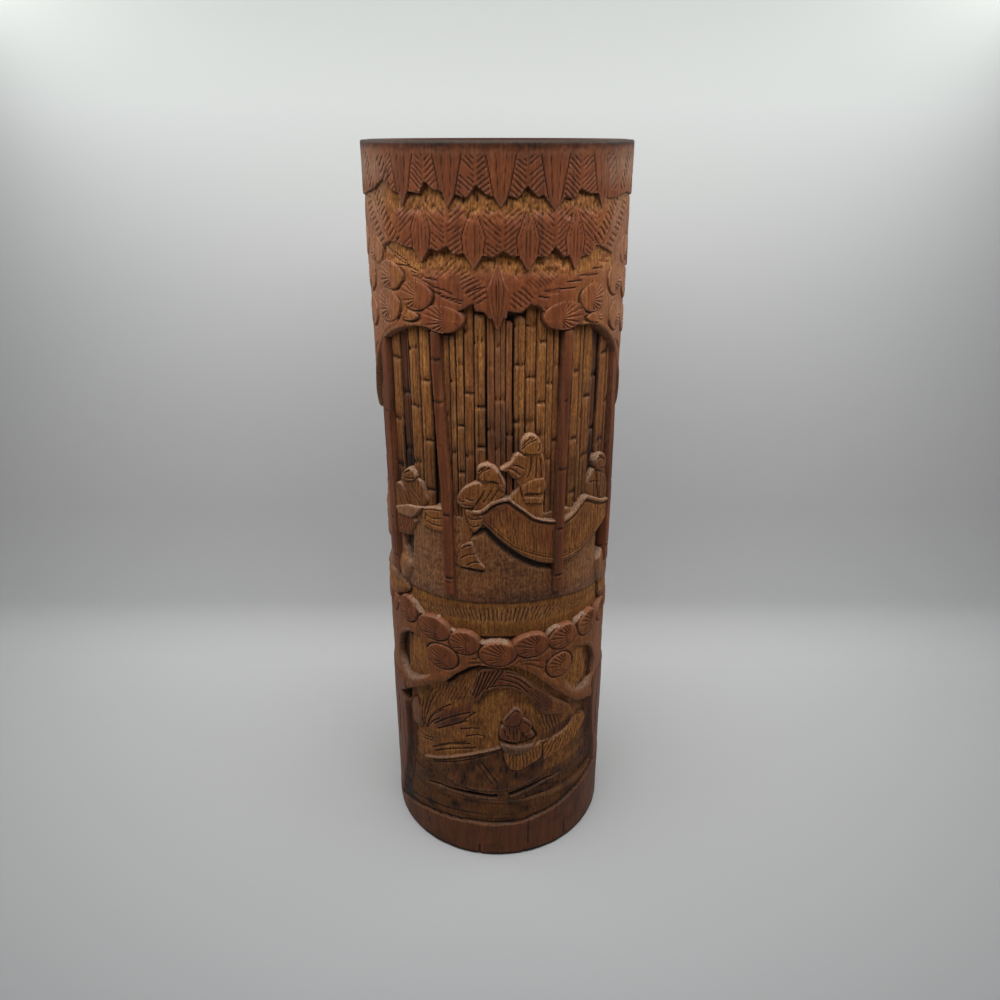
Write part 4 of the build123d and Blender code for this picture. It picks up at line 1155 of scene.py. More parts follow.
rightFigure = dict(figurePatch, u=(39.5, 63.0), z=(165.0, 190.0), stain=0.45, sootAndShade=0.42)
rightShapes = [
    ([(41, 176.9), (42.2, 180.3), (45.3, 183), (51, 182.6), (57, 179), (60.6, 172), (60, 166.6),
      (53.3, 167.2), (43, 171)], 1.9, 1.2, 0.5),
    ([(47.4, 180.6), (50.6, 179.4), (56, 176.6), (58.6, 171), (57.6, 167), (53, 168), (49.4, 170.6)],
     1.3, 0.8, 0.3),
    ([(45, 185.1), (45.6, 187.6), (49, 188.6), (53, 186.8), (55, 183.4), (52.6, 180.6), (47, 182)],
     1.0, 1.3, 0.5),
]
rightFolds = [
    [(45.8, 178.4), (45.6, 174), (46, 170.4)],
    [(50.5, 179), (50, 174), (50, 169.6)],
    [(54.4, 177), (55, 173), (54.4, 168)],
    [(42.4, 178), (45.4, 177.6), (48.7, 176.4)],
    [(46, 186.6), (49.4, 186.4), (52.6, 184.6)],
    [(47.4, 188), (48.6, 187), (49.4, 186.4)],
    [(47.6, 182.2), (50.4, 181.8), (53, 180.8)],
]
addFigure("rightFigure", "right_figure", rightFigure, rightShapes, rightFolds)

leftFigure = dict(figurePatch, u=(-52.0, -28.0), z=(164.0, 188.0), stain=0.45, sootAndShade=0.4)
leftShapes = [
    ([(-45.5, 178.7), (-43.4, 180.4), (-37.8, 181), (-34.7, 182), (-32, 180.6), (-30.4, 176.8),
      (-29.5, 173.7), (-32.3, 170.5), (-39.3, 169.4), (-40.6, 173.9), (-43.1, 176.1)], 1.7, 1.2, 0.5),
    ([(-49, 175.5), (-46, 177), (-43.1, 176.1), (-40.6, 173.9), (-39.6, 169.5), (-45, 167), (-50.4, 166.1),
      (-50.2, 170.7)], 1.2, 0.8, 0.3),
    ([(-44, 180.8), (-41.8, 183.4), (-39.1, 185.2), (-36, 184.8), (-34.6, 182.4), (-37.4, 180.2),
      (-41.6, 179.2)], 1.1, 1.2, 0.5),
]
leftFolds = [
    [(-42.4, 175.9), (-41.1, 172.9), (-39.8, 169.9)],
    [(-37.8, 179.4), (-36.9, 176.7), (-33.7, 174.3)],
    [(-38.8, 175.3), (-35.4, 172.9), (-33.3, 171)],
    [(-47.6, 174.6), (-46, 171), (-44.6, 168)],
    [(-42.6, 181.8), (-40.4, 183.2), (-38.2, 184.4)],
    [(-41.4, 180.6), (-38.2, 181), (-36, 181.8)],
]
addFigure("leftFigure", "left_figure", leftFigure, leftShapes, leftFolds)


# Stone table: pale top, hatched drape, and a low slab beside it with wavy cuts.
stoneTable = {"u": (-52.0, -21.0), "z": (152.0, 173.6), "step": 0.34, "back": 5.9, "wear": 0.4, "dustAndTopLight": 0.5,
              "edge": 0.7}
tableTop = [(-49.9, 165.6), (-40.6, 169.5), (-35.9, 170.1), (-31.7, 170.8), (-34.6, 167.6), (-37.7, 164.6),
            (-47.6, 163.2)]
tableDrape = [(-49.4, 163.4), (-37.8, 164.9), (-36, 163.3), (-40.3, 156.1), (-49.9, 154.1)]
lowSlab = [(-31.9, 170.9), (-26.7, 171.9), (-21.6, 172.3), (-21.8, 162.3), (-27.1, 162.2), (-32.3, 162.8)]
slabCuts = [
    [(-29.8, 167.9), (-26.9, 167.2), (-21.8, 168.2)],
    [(-29.9, 165.4), (-27, 164.6), (-21.8, 164.8)],
    [(-31.2, 169.7), (-27.7, 170.7), (-22, 171.2)],
    [(-30.3, 168.6), (-31.2, 165.6)],
]


def carveTable(u, z):
    top = insideOutline(u, z, tableTop)
    drape = insideOutline(u, z, tableDrape)
    slab = insideOutline(u, z, lowSlab)
    depth = standing(top, 0.8, 0.8, 0.2, 5)
    folds = strokes(u + 0.1 * z + 0.3 * softNoise(u, z, 3, 3, 97), 1.25, 0.6, 0.4) * (drape > 0)
    depth = np.minimum(depth, standing(drape, 1.2, 0.7, 0.25, 5) + folds)
    waves = foldCuts(u, z, slabCuts, 0.7, 0.5) * (slab > 0)
    depth = np.minimum(depth, standing(slab, 1.5, 0.8, 0.3, 5) + waves)
    depth = depth + 0.08 * softNoise(u, z, 1.1, 3, 98)
    skin = np.where(slab > -0.5, 0.3, np.where(drape > 0, 0.8, 0.35))
    return {"depth": depth, "skin": skin, "sootAndShade": 0.1, "rubAndHighlight": 0.35 * fade(top, -0.2, 0.5)}


finishPiece("stoneTable", [carvedPatch(stoneTable, carveTable)], chiselledFibre,
            ["stone_table"])


# Swag: a belt across the front with a scalloped top, pine clumps that lie in it, and a hollow near each end.
swagLedge = {"u": (-sideArc, sideArc), "z": (62.0, 130.5), "step": 0.54, "back": 6.2, "ring": True,
             "wear": 0.3, "dustAndTopLight": 0.4, "edge": 0.8}
swagTop = [(-sideArc, 118.4), (-71, 122.8), (-65, 119), (-60, 123), (-55, 118), (-48, 124), (-43.6, 126.4),
           (-40, 125.2), (-36.5, 122.6), (-34.4, 121.3), (-31.5, 122), (-26.2, 122.9), (-23.5, 121),
           (-20.8, 119), (-17.6, 118.2), (-12.6, 119.1), (-9.6, 117.1), (-7.2, 114.8), (-5.7, 114.2),
           (-2.5, 115.3), (1, 115.7), (4.5, 114.6), (6.3, 113), (7.5, 114.8), (9.9, 117.1), (14.1, 117.6),
           (18.6, 116.2), (20.6, 114.2), (22.5, 117.2), (26, 118.5), (32.1, 117.2), (35.5, 115.4),
           (37.2, 117.4), (43, 118.8), (49.2, 117.4), (54.5, 113.8), (60, 117.2), (66, 114), (71.5, 117.8),
           (sideArc, 114.4)]
swagFoot = [(-sideArc, 72), (-66, 68), (-58, 70), (-52, 74), (-46.4, 78.5), (-39.3, 82.9), (-30.9, 88.5),
            (-23.2, 92.6), (-18.2, 97.7), (-12.3, 101.9), (-7.4, 104), (-3.8, 103.6), (1, 102.6),
            (6.4, 103.8), (10.1, 101.9), (15.2, 98.5), (19.9, 93.6), (25, 88.3), (33.2, 80.3), (40, 75),
            (48, 72), (55, 68), (62, 66), (sideArc, 70)]
swagPlan = [
    (-71.0, 117.6, 5.6, 5.0, 0.9),
    (-59.6, 117.8, 5.8, 5.0, 0.9),
    (-44.5, 120.2, 6.2, 5.8, 0.95),
    (-28.9, 117.2, 8.5, 5.2, 0.95),
    (-14.2, 113.8, 6.7, 5.2, 0.95),
    (-24.7, 104.6, 7.6, 5.6, 0.95),
    (0.1, 109.6, 7.8, 5.4, 0.95),
    (14.5, 112.4, 7.8, 5.2, 0.95),
    (29.8, 112.8, 7.3, 5.4, 0.9),
    (28.1, 99.4, 6.4, 5.6, 0.75),
    (45.6, 113.2, 7.3, 5.4, 0.8),
    (59.6, 112.4, 6.0, 5.0, 0.8),
    (71.5, 112.8, 5.2, 5.0, 0.8),
]
# Each hollow has a golden floor and, outside the dark line (arc at each level), a deep dirty crescent.
hollowPlan = [
    {"outline": [(-42.8, 109.3), (-51, 104.5), (-54.6, 96.4), (-53.8, 89.3), (-49.4, 85), (-44.2, 84.6),
                 (-37.6, 88), (-31.5, 93), (-32.6, 98.5), (-32.2, 104), (-35.6, 109)], "side": -1,
     "dark": ([86, 90.8, 92, 95.2, 100.1, 107.5], [34, 36, 38, 41, 43, 42.6])},
    {"outline": [(42.6, 102.4), (47, 100.4), (51.8, 93.5), (54, 85), (50.1, 80), (41.3, 79.8), (34.6, 83.4),
                 (31, 90.8), (35, 94), (36, 100), (37, 105)], "side": 1,
     "dark": ([82, 84, 85.4, 89.7, 97.7], [39, 42, 45, 46.6, 44])},
]
swagTwigs = [
    [(7.3, 104.4), (10.7, 106.6), (15, 107.2)],
    [(9.4, 105), (13.6, 105.6), (18.3, 104.2)],
    [(9.6, 104.4), (14.6, 103.2), (19.7, 100.2)],
    [(21, 103.6), (21.4, 100.4), (20.2, 97.6)],
    [(-10.6, 106.6), (-8, 107.2), (-6, 106.8)],
    [(-11.8, 104.4), (-8.6, 105), (-6, 104.9)],
    [(-49, 83), (-46.4, 79.8)],
    [(-43.6, 84), (-42, 81.4)],
    [(-35.6, 88), (-34, 86.4)],
]


def carveSwag(u, z):
    top = np.interp(u, *np.transpose(swagTop)) + 0.15 * softNoise(u, z, 2, 40, 104)
    foot = np.interp(u, *np.transpose(swagFoot)) + 0.3 * softNoise(u, z, 3, 40, 101)
    above = (z - foot) * 0.85
    depth = standing(np.minimum(top - z, above), 1.0, 0.6, 0.2, 6) + 0.12 * softNoise(u, z, 2.5, 2.5, 102)
    branch = np.clip(1 - np.abs(above - 2.2) / 2.2, 0, 1) * fade(np.abs(u), 14, 22)
    depth -= 0.35 * np.sqrt(branch)
    moat = np.zeros(u.shape)
    for arc, level, halfWide, halfHigh, _ in swagPlan:
        ring = np.hypot((u - arc) / halfWide, (z - level) / halfHigh)
        moat = np.maximum(moat, groove(np.abs((ring - 1.07) * min(halfWide, halfHigh)), 1.2, 1))
    depth += 0.8 * moat + foldCuts(u, z, swagTwigs, 0.9, 0.55)
    # A pale strip along the top edge: a painted highlight where the belt faces up to the light.
    strip = fade(z, top - 0.7, top - 0.2)
    skin = 0.72 + 0.15 * softNoise(u, z, 4, 4, 105)
    sootAndShade = 0.35 * moat + 0.04
    ledge = np.zeros(u.shape)
    for hollow in hollowPlan:
        edge = insideCurve(u, z, hollow["outline"])
        within = fade(edge, -0.1, 0.6 + 2.2 * fade(-z, -92, -86))
        outside = fade(u * hollow["side"] - np.interp(z, *hollow["dark"]), -0.8, 1.2)
        hatch = strokes(0.8 * u * hollow["side"] - 0.6 * z + 0.4 * softNoise(u, z, 3, 3, 106), 1.7, 0.8, 0.4)
        floor = 1.9 + 2.0 * outside + hatch * (1 - outside) * (1 - fade(z, 92, 97))
        depth = np.where(within > 0, depth * (1 - within) + floor * within, depth)
        sootAndShade = sootAndShade * (1 - within) + 0.85 * within * outside
        skin = skin * (1 - within) + within * (0.1 + 0.4 * outside)
        # Below each hollow the up-facing lip is painted pale: a painted highlight.
        ledge = np.maximum(ledge, fade(edge, -1.2, -0.2) * fade(-z, -92, -86) * (1 - within))
    return {"depth": depth, "skin": np.clip(skin, 0.05, 1), "sootAndShade": sootAndShade, "rubAndHighlight": 0.3 * strip + 0.3 * ledge}


finishPiece("swagLedge", [carvedPatch(swagLedge, carveSwag)], stainedSkin, ["swag_ledge"])


# Clumps in the swag: nearly flat ovals, cut with needles that fan from their right end.
swagBoughs = {"step": 0.29, "margin": 0.7, "back": 5.9, "edge": 0.7, "wear": 0.2, "dustAndTopLight": 0.1,
              "needleTurn": 13, "needleWidth": 0.75, "needleDepth": 0.5}


def carveSwagBough(arc, level, halfWide, halfHigh, stain):
    def carve(u, z):
        x = (u - arc) / halfWide
        y = (z - level) / halfHigh
        away = np.hypot(x, y) + 0.03 * softNoise(u, z, 3, 3, 71)
        inside = (1 - away) * min(halfWide, halfHigh)
        dome = 0.5 + 0.25 * np.clip(away, 0, 1) ** 2 + 0.2 * fade(away, 0.88, 1)
        source = (arc + 0.55 * halfWide, level - 0.25 * halfHigh)
        needles = needleCuts(u, z, source, swagBoughs)
        needles *= (1 - fade(away, 0.86, 0.95)) * (1 - fade(x, 0.3, 0.55))
        needles *= fade(np.hypot(u - source[0], z - source[1]), 2.0, 3.2)
        depth = dome + 5.0 * np.clip(-inside, 0, None) + needles
        return {"depth": depth, "skin": stain, "sootAndShade": 0.02 + 0.1 * softNoise(u, z, 2, 5, 73)}
    return carve


swagClumps = []
for bough in swagPlan:
    swagClumps.append(carvedPatch(boughArea(swagBoughs, bough), carveSwagBough(*bough)))
finishPiece("swagBoughs", swagClumps, stainedSkin, ["swag_boughs"])


# Knot rings: the smooth lip of bark round the outer side of each hollow, paler along its lower arc.
knotRings = {"step": 0.5, "margin": 1.8, "lipHalf": 0.9, "back": 5.9, "wear": 0.3, "dustAndTopLight": 0.3}
knotLines = [
    [(-43.5, 110.4), (-51.8, 105.6), (-55.8, 96.8), (-54.8, 88.6), (-49.8, 83.8), (-44, 83.4), (-37, 86.8),
     (-31.4, 91.8)],
    [(43.4, 103.6), (48, 101.4), (53, 93.8), (55.2, 84.6), (50.6, 78.8), (41, 78.6), (34, 82.2)],
]


def carveKnot(line):
    def carve(u, z):
        lip = knotRings["lipHalf"] - nearCurve(u, z, line)
        depth = standing(lip, 0.85, 0.9, 0.5, 4) + 0.12 * softNoise(u, z, 2, 2, 111)
        return {"depth": depth, "skin": 0.7, "rubAndHighlight": 0.25 * (1 - fade(z, 84, 90)), "sootAndShade": 0.15}
    return carve


knots = []
for line in knotLines:
    arcs, levels = np.transpose(line)
    margin = knotRings["margin"]
    area = dict(knotRings, u=(arcs.min() - margin, arcs.max() + margin),
                z=(levels.min() - margin, levels.max() + margin))
    knots.append(carvedPatch(area, carveKnot(line)))
finishPiece("knotRings", knots, stainedSkin, ["knot_rings"])


# River: reeds, hills and the water's edge cut into the golden fibre, and below them the cove's dark water.
riverField = {"u": (-48.0, 53.0), "z": (43.0, 106.0), "step": 0.41, "back": 6.4, "wear": 0.35, "dustAndTopLight": 0.1,
              "edge": 0.8}
riverWater = {"u": (-56.0, 60.0), "z": (28.0, 43.5), "step": 0.45, "back": 6.4, "wear": 0.3, "dustAndTopLight": 0.05,
              "edge": 0.8}
reedLines = [
    [(-43.6, 69.4), (-41.8, 64), (-40.3, 59.3)],
    [(-38.5, 80), (-39.8, 70), (-40.3, 60.1)],
    [(-30.3, 83), (-35.6, 72), (-38.6, 61.8)],
    [(-22.1, 79.5), (-31.7, 71.4), (-37.7, 60.8)],
    [(-28.5, 69.8), (-33, 66), (-36.7, 60.6)],
    [(-35.6, 78), (-38.2, 69), (-39.4, 61)],
    [(-26.4, 75.2), (-33.4, 68.6), (-37.2, 60.6)],
    [(-48.6, 57.4), (-40.1, 55), (-33.2, 56.4)],
    [(-46, 55.4), (-40, 53.4), (-34, 54.8)],
    [(-33.5, 51.4), (-24.3, 56.8), (-13, 60.6)],
    [(-31.8, 50), (-22.9, 55), (-10.4, 59)],
    [(-30, 54.4), (-22, 58.4), (-15, 61)],
    [(-32, 65.2), (-22.3, 72.9), (-12.7, 77.6)],
    [(-30, 63.4), (-22, 68.4), (-14, 72.8)],
    [(-18.2, 70.5), (-12.8, 75.5), (-10.1, 78.1)],
    [(-17.4, 67.4), (-13, 69), (-9, 69.5)],
    [(-15, 64), (-10, 66), (-6, 65.6)],
]
leftRock = [(-52.5, 61.9), (-48.6, 69.8), (-43.4, 74.4), (-41.4, 70.6), (-40.6, 64), (-40.2, 59.6),
            (-44.6, 58.4), (-51.2, 58.6)]
grassPatch = [(-36, 83), (-24, 91), (-14, 98.6), (-11.4, 91), (-13, 84.6), (-24, 80), (-32, 75)]
redHill = [(-30.8, 73.3), (-22.2, 78.8), (-12.6, 83.4), (-11.4, 79.3), (-14.1, 73.7), (-21, 68.1),
           (-32, 63.7)]
goldField = [(-8.4, 80), (-5.6, 86.4), (-2, 89.4), (4, 90), (8.4, 88), (4.4, 82), (2.4, 74.5), (1.9, 59.7),
             (-4.6, 68)]
rightHill = [(19.6, 76.4), (26, 76.2), (30, 72), (31.6, 67), (28, 65), (22.4, 65.6), (19.4, 70.4)]
boatmanShade = [(0.6, 62.6), (1, 72), (3.6, 76), (10.6, 76), (14, 74), (17.4, 68), (18.4, 63), (10, 60.6)]
rightShade = [(20.7, 62.9), (27.6, 65.3), (34.5, 67.2), (39.2, 67.7), (38.8, 64), (33.7, 61.6),
              (27.8, 60.1), (22, 58.6)]
upperHatch = [(27.2, 82.2), (31, 81.7), (36.8, 75.4), (32, 71.2), (27.6, 75.6)]
branchShadow = [(-23.2, 91.6), (-18.2, 96.6), (-12.3, 100.8), (-7.4, 102.9), (-2.4, 102.4)]
sampanHull = [(-34, 44), (-29.9, 46.6), (-20.3, 51), (-10.2, 55.6), (-1.4, 59.4), (4, 58.4), (9.8, 56.6),
              (19.5, 60.6), (27.5, 60.4), (35.7, 62.7), (41.6, 66), (47.8, 63.7), (50, 60.5), (48.2, 57),
              (43.6, 54.8), (38.1, 52.7), (29.4, 50.4), (24, 48.4), (22.6, 44), (19, 40.6), (12, 37.8),
              (5.5, 36.2), (-2.8, 35.6), (-13.1, 35.6), (-21.4, 36.8), (-28.1, 40.3)]


def carveField(u, z):
    depth = 3.2 + 0.14 * softNoise(u, z, 0.9, 2.6, 121) + 0.25 * softNoise(u, z, 4, 3.5, 122)
    reeds = foldCuts(u, z, reedLines, 1.0, 0.7)
    rock = insideCurve(u, z, leftRock)
    red = insideCurve(u, z, redHill)
    gold = insideCurve(u, z, goldField)
    hill = insideCurve(u, z, rightHill)
    shade = insideCurve(u, z, rightShade)
    upper = insideOutline(u, z, upperHatch)
    under = nearLine(u, z, branchShadow)
    depth += reeds - 0.4 * fade(red, -0.5, 3) + 0.4 * fade(gold, -0.4, 1.2)
    depth -= 0.45 * fade(hill, -0.2, 1.5) + 0.25 * fade(shade, -0.2, 0.8)
    hatch = strokes(0.95 * u + 0.32 * z + 0.3 * softNoise(u, z, 3, 3, 126), 1.8, 0.85, 0.5)
    hatch = hatch * fade(hill, 0.2, 1)
    hatch = np.maximum(hatch, strokes(0.8 * u - 0.6 * z, 1.6, 0.85, 0.55) * fade(upper, 0, 0.6))
    grass = fade(insideOutline(u, z, grassPatch), 0, 1) * fade(softNoise(u, z, 1.5, 3.5, 130), -0.6, -0.2)
    blades = strokes(0.9 * u - 0.42 * z + 0.2 * softNoise(u, z, 5, 6, 131), 1.5, 0.6, 0.34)
    hatch = np.maximum(hatch, blades * grass)
    depth += hatch + 1.5 * fade(-under, -1.7, -0.5)
    depth = np.minimum(depth, standing(rock, 2.2, 2.6, 0.9, 3))
    blotch = fade(softNoise(u, z, 5, 4, 127), 0.0, 0.7)
    sootAndShade = 0.12 + 0.26 * blotch + 0.4 * fade(shade, -0.3, 0.6) + 0.28 * fade(red, 0, 3)
    sootAndShade = sootAndShade + 0.9 * fade(-under, -2.0, -0.6)
    behind = fade(insideCurve(u, z, boatmanShade), -0.3, 0.7)
    sootAndShade = sootAndShade + 0.3 * groove(np.abs(gold), 3.0, 1) * (gold < 0) * fade(-u, -3, 2) + 0.3 * fade(u, 38, 48)
    depth += 0.5 * behind + 1.2 * fade(insideCurve(u, z, sampanHull), 0.4, 1.2)
    sootAndShade = np.clip(sootAndShade * (1 - 0.9 * fade(gold, -0.3, 1)) + 0.45 * behind, 0, 1)
    skin = 0.24 + 0.7 * fade(red, -0.5, 2) + 0.3 * fade(hill, 0, 2) + 0.5 * fade(shade, -0.5, 1)
    skin = skin + 0.6 * fade(rock, -0.3, 1)
    skin = skin - 0.32 * fade(gold, -1, 1) + 0.25 * softNoise(u, z, 4, 5, 125)
    return {"depth": depth, "skin": np.clip(skin, 0.02, 1), "sootAndShade": sootAndShade, "rubAndHighlight": 0.25 * fade(rock, 0, 1)}


waterSlits = [
    ([(-40, 28.6), (-31.1, 31.2), (-22.2, 32), (-11.5, 32.4), (-1.2, 32)], (-36, -9)),
    ([(6, 33), (15.8, 35.6), (23, 37.2), (32.8, 38)], (34, 10)),
]


def carveWater(u, z):
    depth = 3.3 + 0.12 * softNoise(u, z, 1.4, 1.4, 128) + 0.25 * softNoise(u, z, 6, 2.5, 129)
    slit = np.zeros(u.shape)
    for line, (thin, thick) in waterSlits:
        half = 0.35 + 0.65 * fade((u - thin) / (thick - thin), 0, 1)
        slit = np.maximum(slit, fade(half - nearCurve(u, z, line), -0.35, 0.25))
    blotch = fade(softNoise(u, z, 6, 5, 127), -0.1, 0.6)
    sootAndShade = np.maximum(0.58 + 0.2 * blotch - 0.15 * fade(z, 38, 43), slit)
    return {"depth": depth + 1.6 * slit, "skin": 0.5 + 0.25 * softNoise(u, z, 4, 5, 125), "sootAndShade": sootAndShade}


finishPiece("riverField", [carvedPatch(riverField, carveField)], chiselledFibre, [])
finishPiece("riverWater", [carvedPatch(riverWater, carveWater)], chiselledFibre, [])


# Thatched roof of the small boat: a bent band with slanted cuts on its left part, long ones over it and two
# hatches.
thatchedRoof = {"u": (-14.0, 38.6), "z": (69.0, 104.0), "step": 0.32, "back": 6.2, "wear": 0.4,
                "dustAndTopLight": 0.15, "edge": 0.7}
roofBand = [(-11.6, 86.5), (-10.9, 91.5), (-9.7, 95.9), (-6.6, 101.1), (-0.1, 101.9), (8.1, 99.2),
            (15, 93.2), (22.4, 86.2), (28.4, 80.3), (36.1, 74), (33, 71.4), (28, 73), (22, 75.2),
            (18.5, 78.5), (15.8, 82.8), (11.9, 87.9), (6.4, 91.8), (-0.1, 92.3), (-6.1, 89.7), (-8.6, 85.2)]
roofHatch = [(14.2, 87.4), (16.8, 90.4), (21.4, 86.6), (26.3, 79.8), (25.6, 76.2), (19.7, 76.2), (16.6, 80.8)]
roofCuts = [
    [(-8.6, 98), (-11, 90)],
    [(-7, 99.7), (-11, 87.3)],
    [(-5.2, 100.2), (-9.9, 86.4)],
    [(-3.4, 100.4), (-8.3, 88)],
    [(-1.6, 100.6), (-6.8, 89.9)],
    [(0.4, 100.8), (-4.8, 91.2)],
    [(2.2, 100.8), (-2.8, 92.6)],
    [(4, 98.5), (9.4, 96), (14.4, 90.9)],
    [(1, 96.8), (8.2, 94.2), (13.1, 89)],
    [(-6.7, 91.2), (-1.3, 93.2), (5.8, 93.1), (10, 90.8)],
    [(3.6, 100.2), (10, 97.6), (17, 91), (24, 84.2)],
]


def carveRoof(u, z):
    band = insideCurve(u, z, roofBand)
    hatch = fade(insideOutline(u, z, roofHatch), 0, 0.8)
    wander = 0.35 * softNoise(u, z, 3, 3, 131)
    depth = standing(band, 1.8, 1.0, 0.35, 4) + foldCuts(u, z, roofCuts, 0.95, 0.65)
    thatch = strokes(0.68 * u - 0.73 * z + 0.4 * wander, 1.4, 0.75, 0.5)
    side = strokes(0.8 * u - 0.6 * z + 0.4 * wander, 1.6, 0.8, 0.5) * fade(u, 26.6, 27.6)
    depth += (thatch * hatch + side) * (band > 0.2) + 0.12 * softNoise(u, z, 1.2, 4, 132)
    skin = 0.95 + 0.2 * softNoise(u, z, 3, 4, 133) - 0.45 * fade(u, 22, 28)
    sootAndShade = 0.3 + 0.15 * hatch - 0.2 * fade(u, 22, 28)
    return {"depth": depth, "skin": np.clip(skin, 0.05, 1), "sootAndShade": sootAndShade}


finishPiece("thatchedRoof", [carvedPatch(thatchedRoof, carveRoof)], chiselledFibre,
            ["thatched_roof"])


# Sampan: a dark hull with a pale left gunwale, a bowl over a hatched lip, a hatched golden prow, and an oar.
sampan = {"u": (-40.0, 52.0), "z": (33.0, 66.0), "step": 0.36, "back": 6.4, "wear": 0.35, "dustAndTopLight": 0.1,
          "edge": 0.7}
sampanRail = [(-38, 44.3), (-29.9, 47.6), (-20, 52.2), (-10.1, 56.5), (-2.6, 59.2), (1, 60.4)]
sampanBowl = [(1.4, 62.4), (7.1, 61), (14.6, 60.2), (17.4, 61.4), (14.9, 57), (9.6, 56), (4, 57.2)]
sampanLip = [(2.9, 57.8), (9.8, 56), (19.5, 60.4), (20.3, 52.7), (15, 49.3), (9.9, 47.5), (5.2, 49.2)]
sampanProw = [(21.2, 58.8), (27.4, 60.1), (33.2, 61.6), (38.2, 63.6), (41.6, 65.6), (47.6, 63.4),
              (49.6, 60.4), (47.7, 57.6), (44.1, 55.8), (38.8, 53.5), (32.3, 51.9), (26.9, 51.2),
              (21.9, 50)]
sampanCuts = [
    [(-28.9, 40.5), (-26.8, 38.4), (-24.3, 36.2)],
    [(-26.8, 42), (-24.4, 39.6), (-21.9, 37.2)],
    [(-9.5, 50.9), (-6, 45.4), (-2.6, 39.8)],
    [(-7.6, 52), (-3.8, 46.4), (-0.1, 40.9)],
    [(-32.4, 44.2), (-20.3, 49.2), (-10.2, 53.8), (-1.4, 57.8)],
]


def carveSampan(u, z):
    hull = insideCurve(u, z, sampanHull)
    prow = insideOutline(u, z, sampanProw)
    lip = insideCurve(u, z, sampanLip)
    depth = standing(hull, 2.4, 1.5, 0.4, 4) + 0.2 * softNoise(u, z, 1.4, 3, 141)
    depth = depth + 0.2 * softNoise(u, z, 5, 4, 143)
    depth += foldCuts(u, z, sampanCuts, 0.9, 0.6) * (hull > 0)
    depth -= 0.4 * fade(lip, -0.2, 0.5)
    depth += strokes(u + 0.05 * z + 0.3 * softNoise(u, z, 3, 3, 144), 1.6, 0.75, 0.42) * (lip > 0.4)
    depth -= 0.35 * fade(prow, -0.2, 0.4)
    depth += strokes(0.88 * u - 0.45 * z + 0.3 * softNoise(u, z, 3, 3, 145), 1.9, 0.9, 0.62) * (prow > 0.4)
    rail = 0.45 - nearCurve(u, z, sampanRail)
    bowl = insideCurve(u, z, sampanBowl)
    depth = np.minimum(depth, standing(rail, 1.9, 0.5, 0.25, 4))
    depth = np.minimum(depth, standing(bowl, 1.6, 1.6, 0.5, 4))
    onRail = fade(rail, -0.2, 0.4)
    onBowl = fade(bowl, -0.2, 0.6)
    onProw = fade(np.maximum(prow, lip), -0.3, 0.4)
    plain = (1 - onRail) * (1 - onProw) * (1 - onBowl)
    foot = 0.35 * groove(np.abs(hull - 0.6), 1.4, 1) * (1 - fade(z, 40, 43))
    skin = 0.6 - 0.6 * onProw + 0.3 * softNoise(u, z, 3.5, 4, 142)
    sootAndShade = plain * (0.4 + 0.25 * softNoise(u, z, 4, 4, 146)) + 0.4 * onBowl + 0.18 * (1 - onProw)
    rubAndHighlight = 0.12 * onRail + 0.2 * onBowl + foot
    return {"depth": depth, "skin": np.clip(skin, 0.05, 1), "sootAndShade": np.clip(sootAndShade, 0, 1), "rubAndHighlight": rubAndHighlight}


finishPiece("sampan", [carvedPatch(sampan, carveSampan)], chiselledFibre, ["sampan"])

boatman = dict(figurePatch, u=(-0.5, 18.5), z=(60.0, 84.0), back=6.4, wear=0.35, dustAndTopLight=0.2, stain=0.9,
               sootAndShade=0.3)
boatmanShapes = [
    ([(11.4, 75.2), (15, 72.4), (15.6, 69), (14, 67.4), (10.4, 68.4), (9.8, 71)], 2.2, 0.9, 0.3),
    ([(12.3, 67), (15.4, 67.4), (16.8, 65.2), (14.2, 64.6)], 2.0, 0.8, 0.3),
    ([(1.4, 71.2), (4.1, 72), (9.4, 71.6), (10.4, 67.5), (9.7, 63), (6.9, 62.8), (3.8, 64.1), (1.2, 65.5)],
     2.2, 1.2, 0.4),
    ([(2.7, 75.5), (5.3, 79.2), (7.8, 81.5), (10, 80.2), (11.3, 77.4), (10.4, 74.3), (9.4, 71.9),
      (6.8, 71.6), (4.1, 72.2), (2.5, 73.7)], 1.8, 1.2, 0.4),
]
boatmanFolds = [
    [(3.5, 74.9), (5.8, 78.1), (7.9, 79.9), (9.6, 78.9)],
    [(3.2, 72.8), (6.8, 71.8), (9.8, 72.4)],
    [(3, 70), (3.6, 66)],
    [(5.2, 70.6), (5.6, 67.6)],
    [(7.2, 69), (7.4, 64.4)],
    [(8.8, 70.4), (8.6, 67)],
    [(4.6, 66.4), (5, 64.4)],
    [(1, 64.9), (3.8, 64), (6.9, 62.6)],
    [(13.1, 64.1), (16.6, 64.7)],
    [(11.8, 73.4), (14.8, 70.6)],
]
addFigure("boatman", "boatman", boatman, boatmanShapes, boatmanFolds)


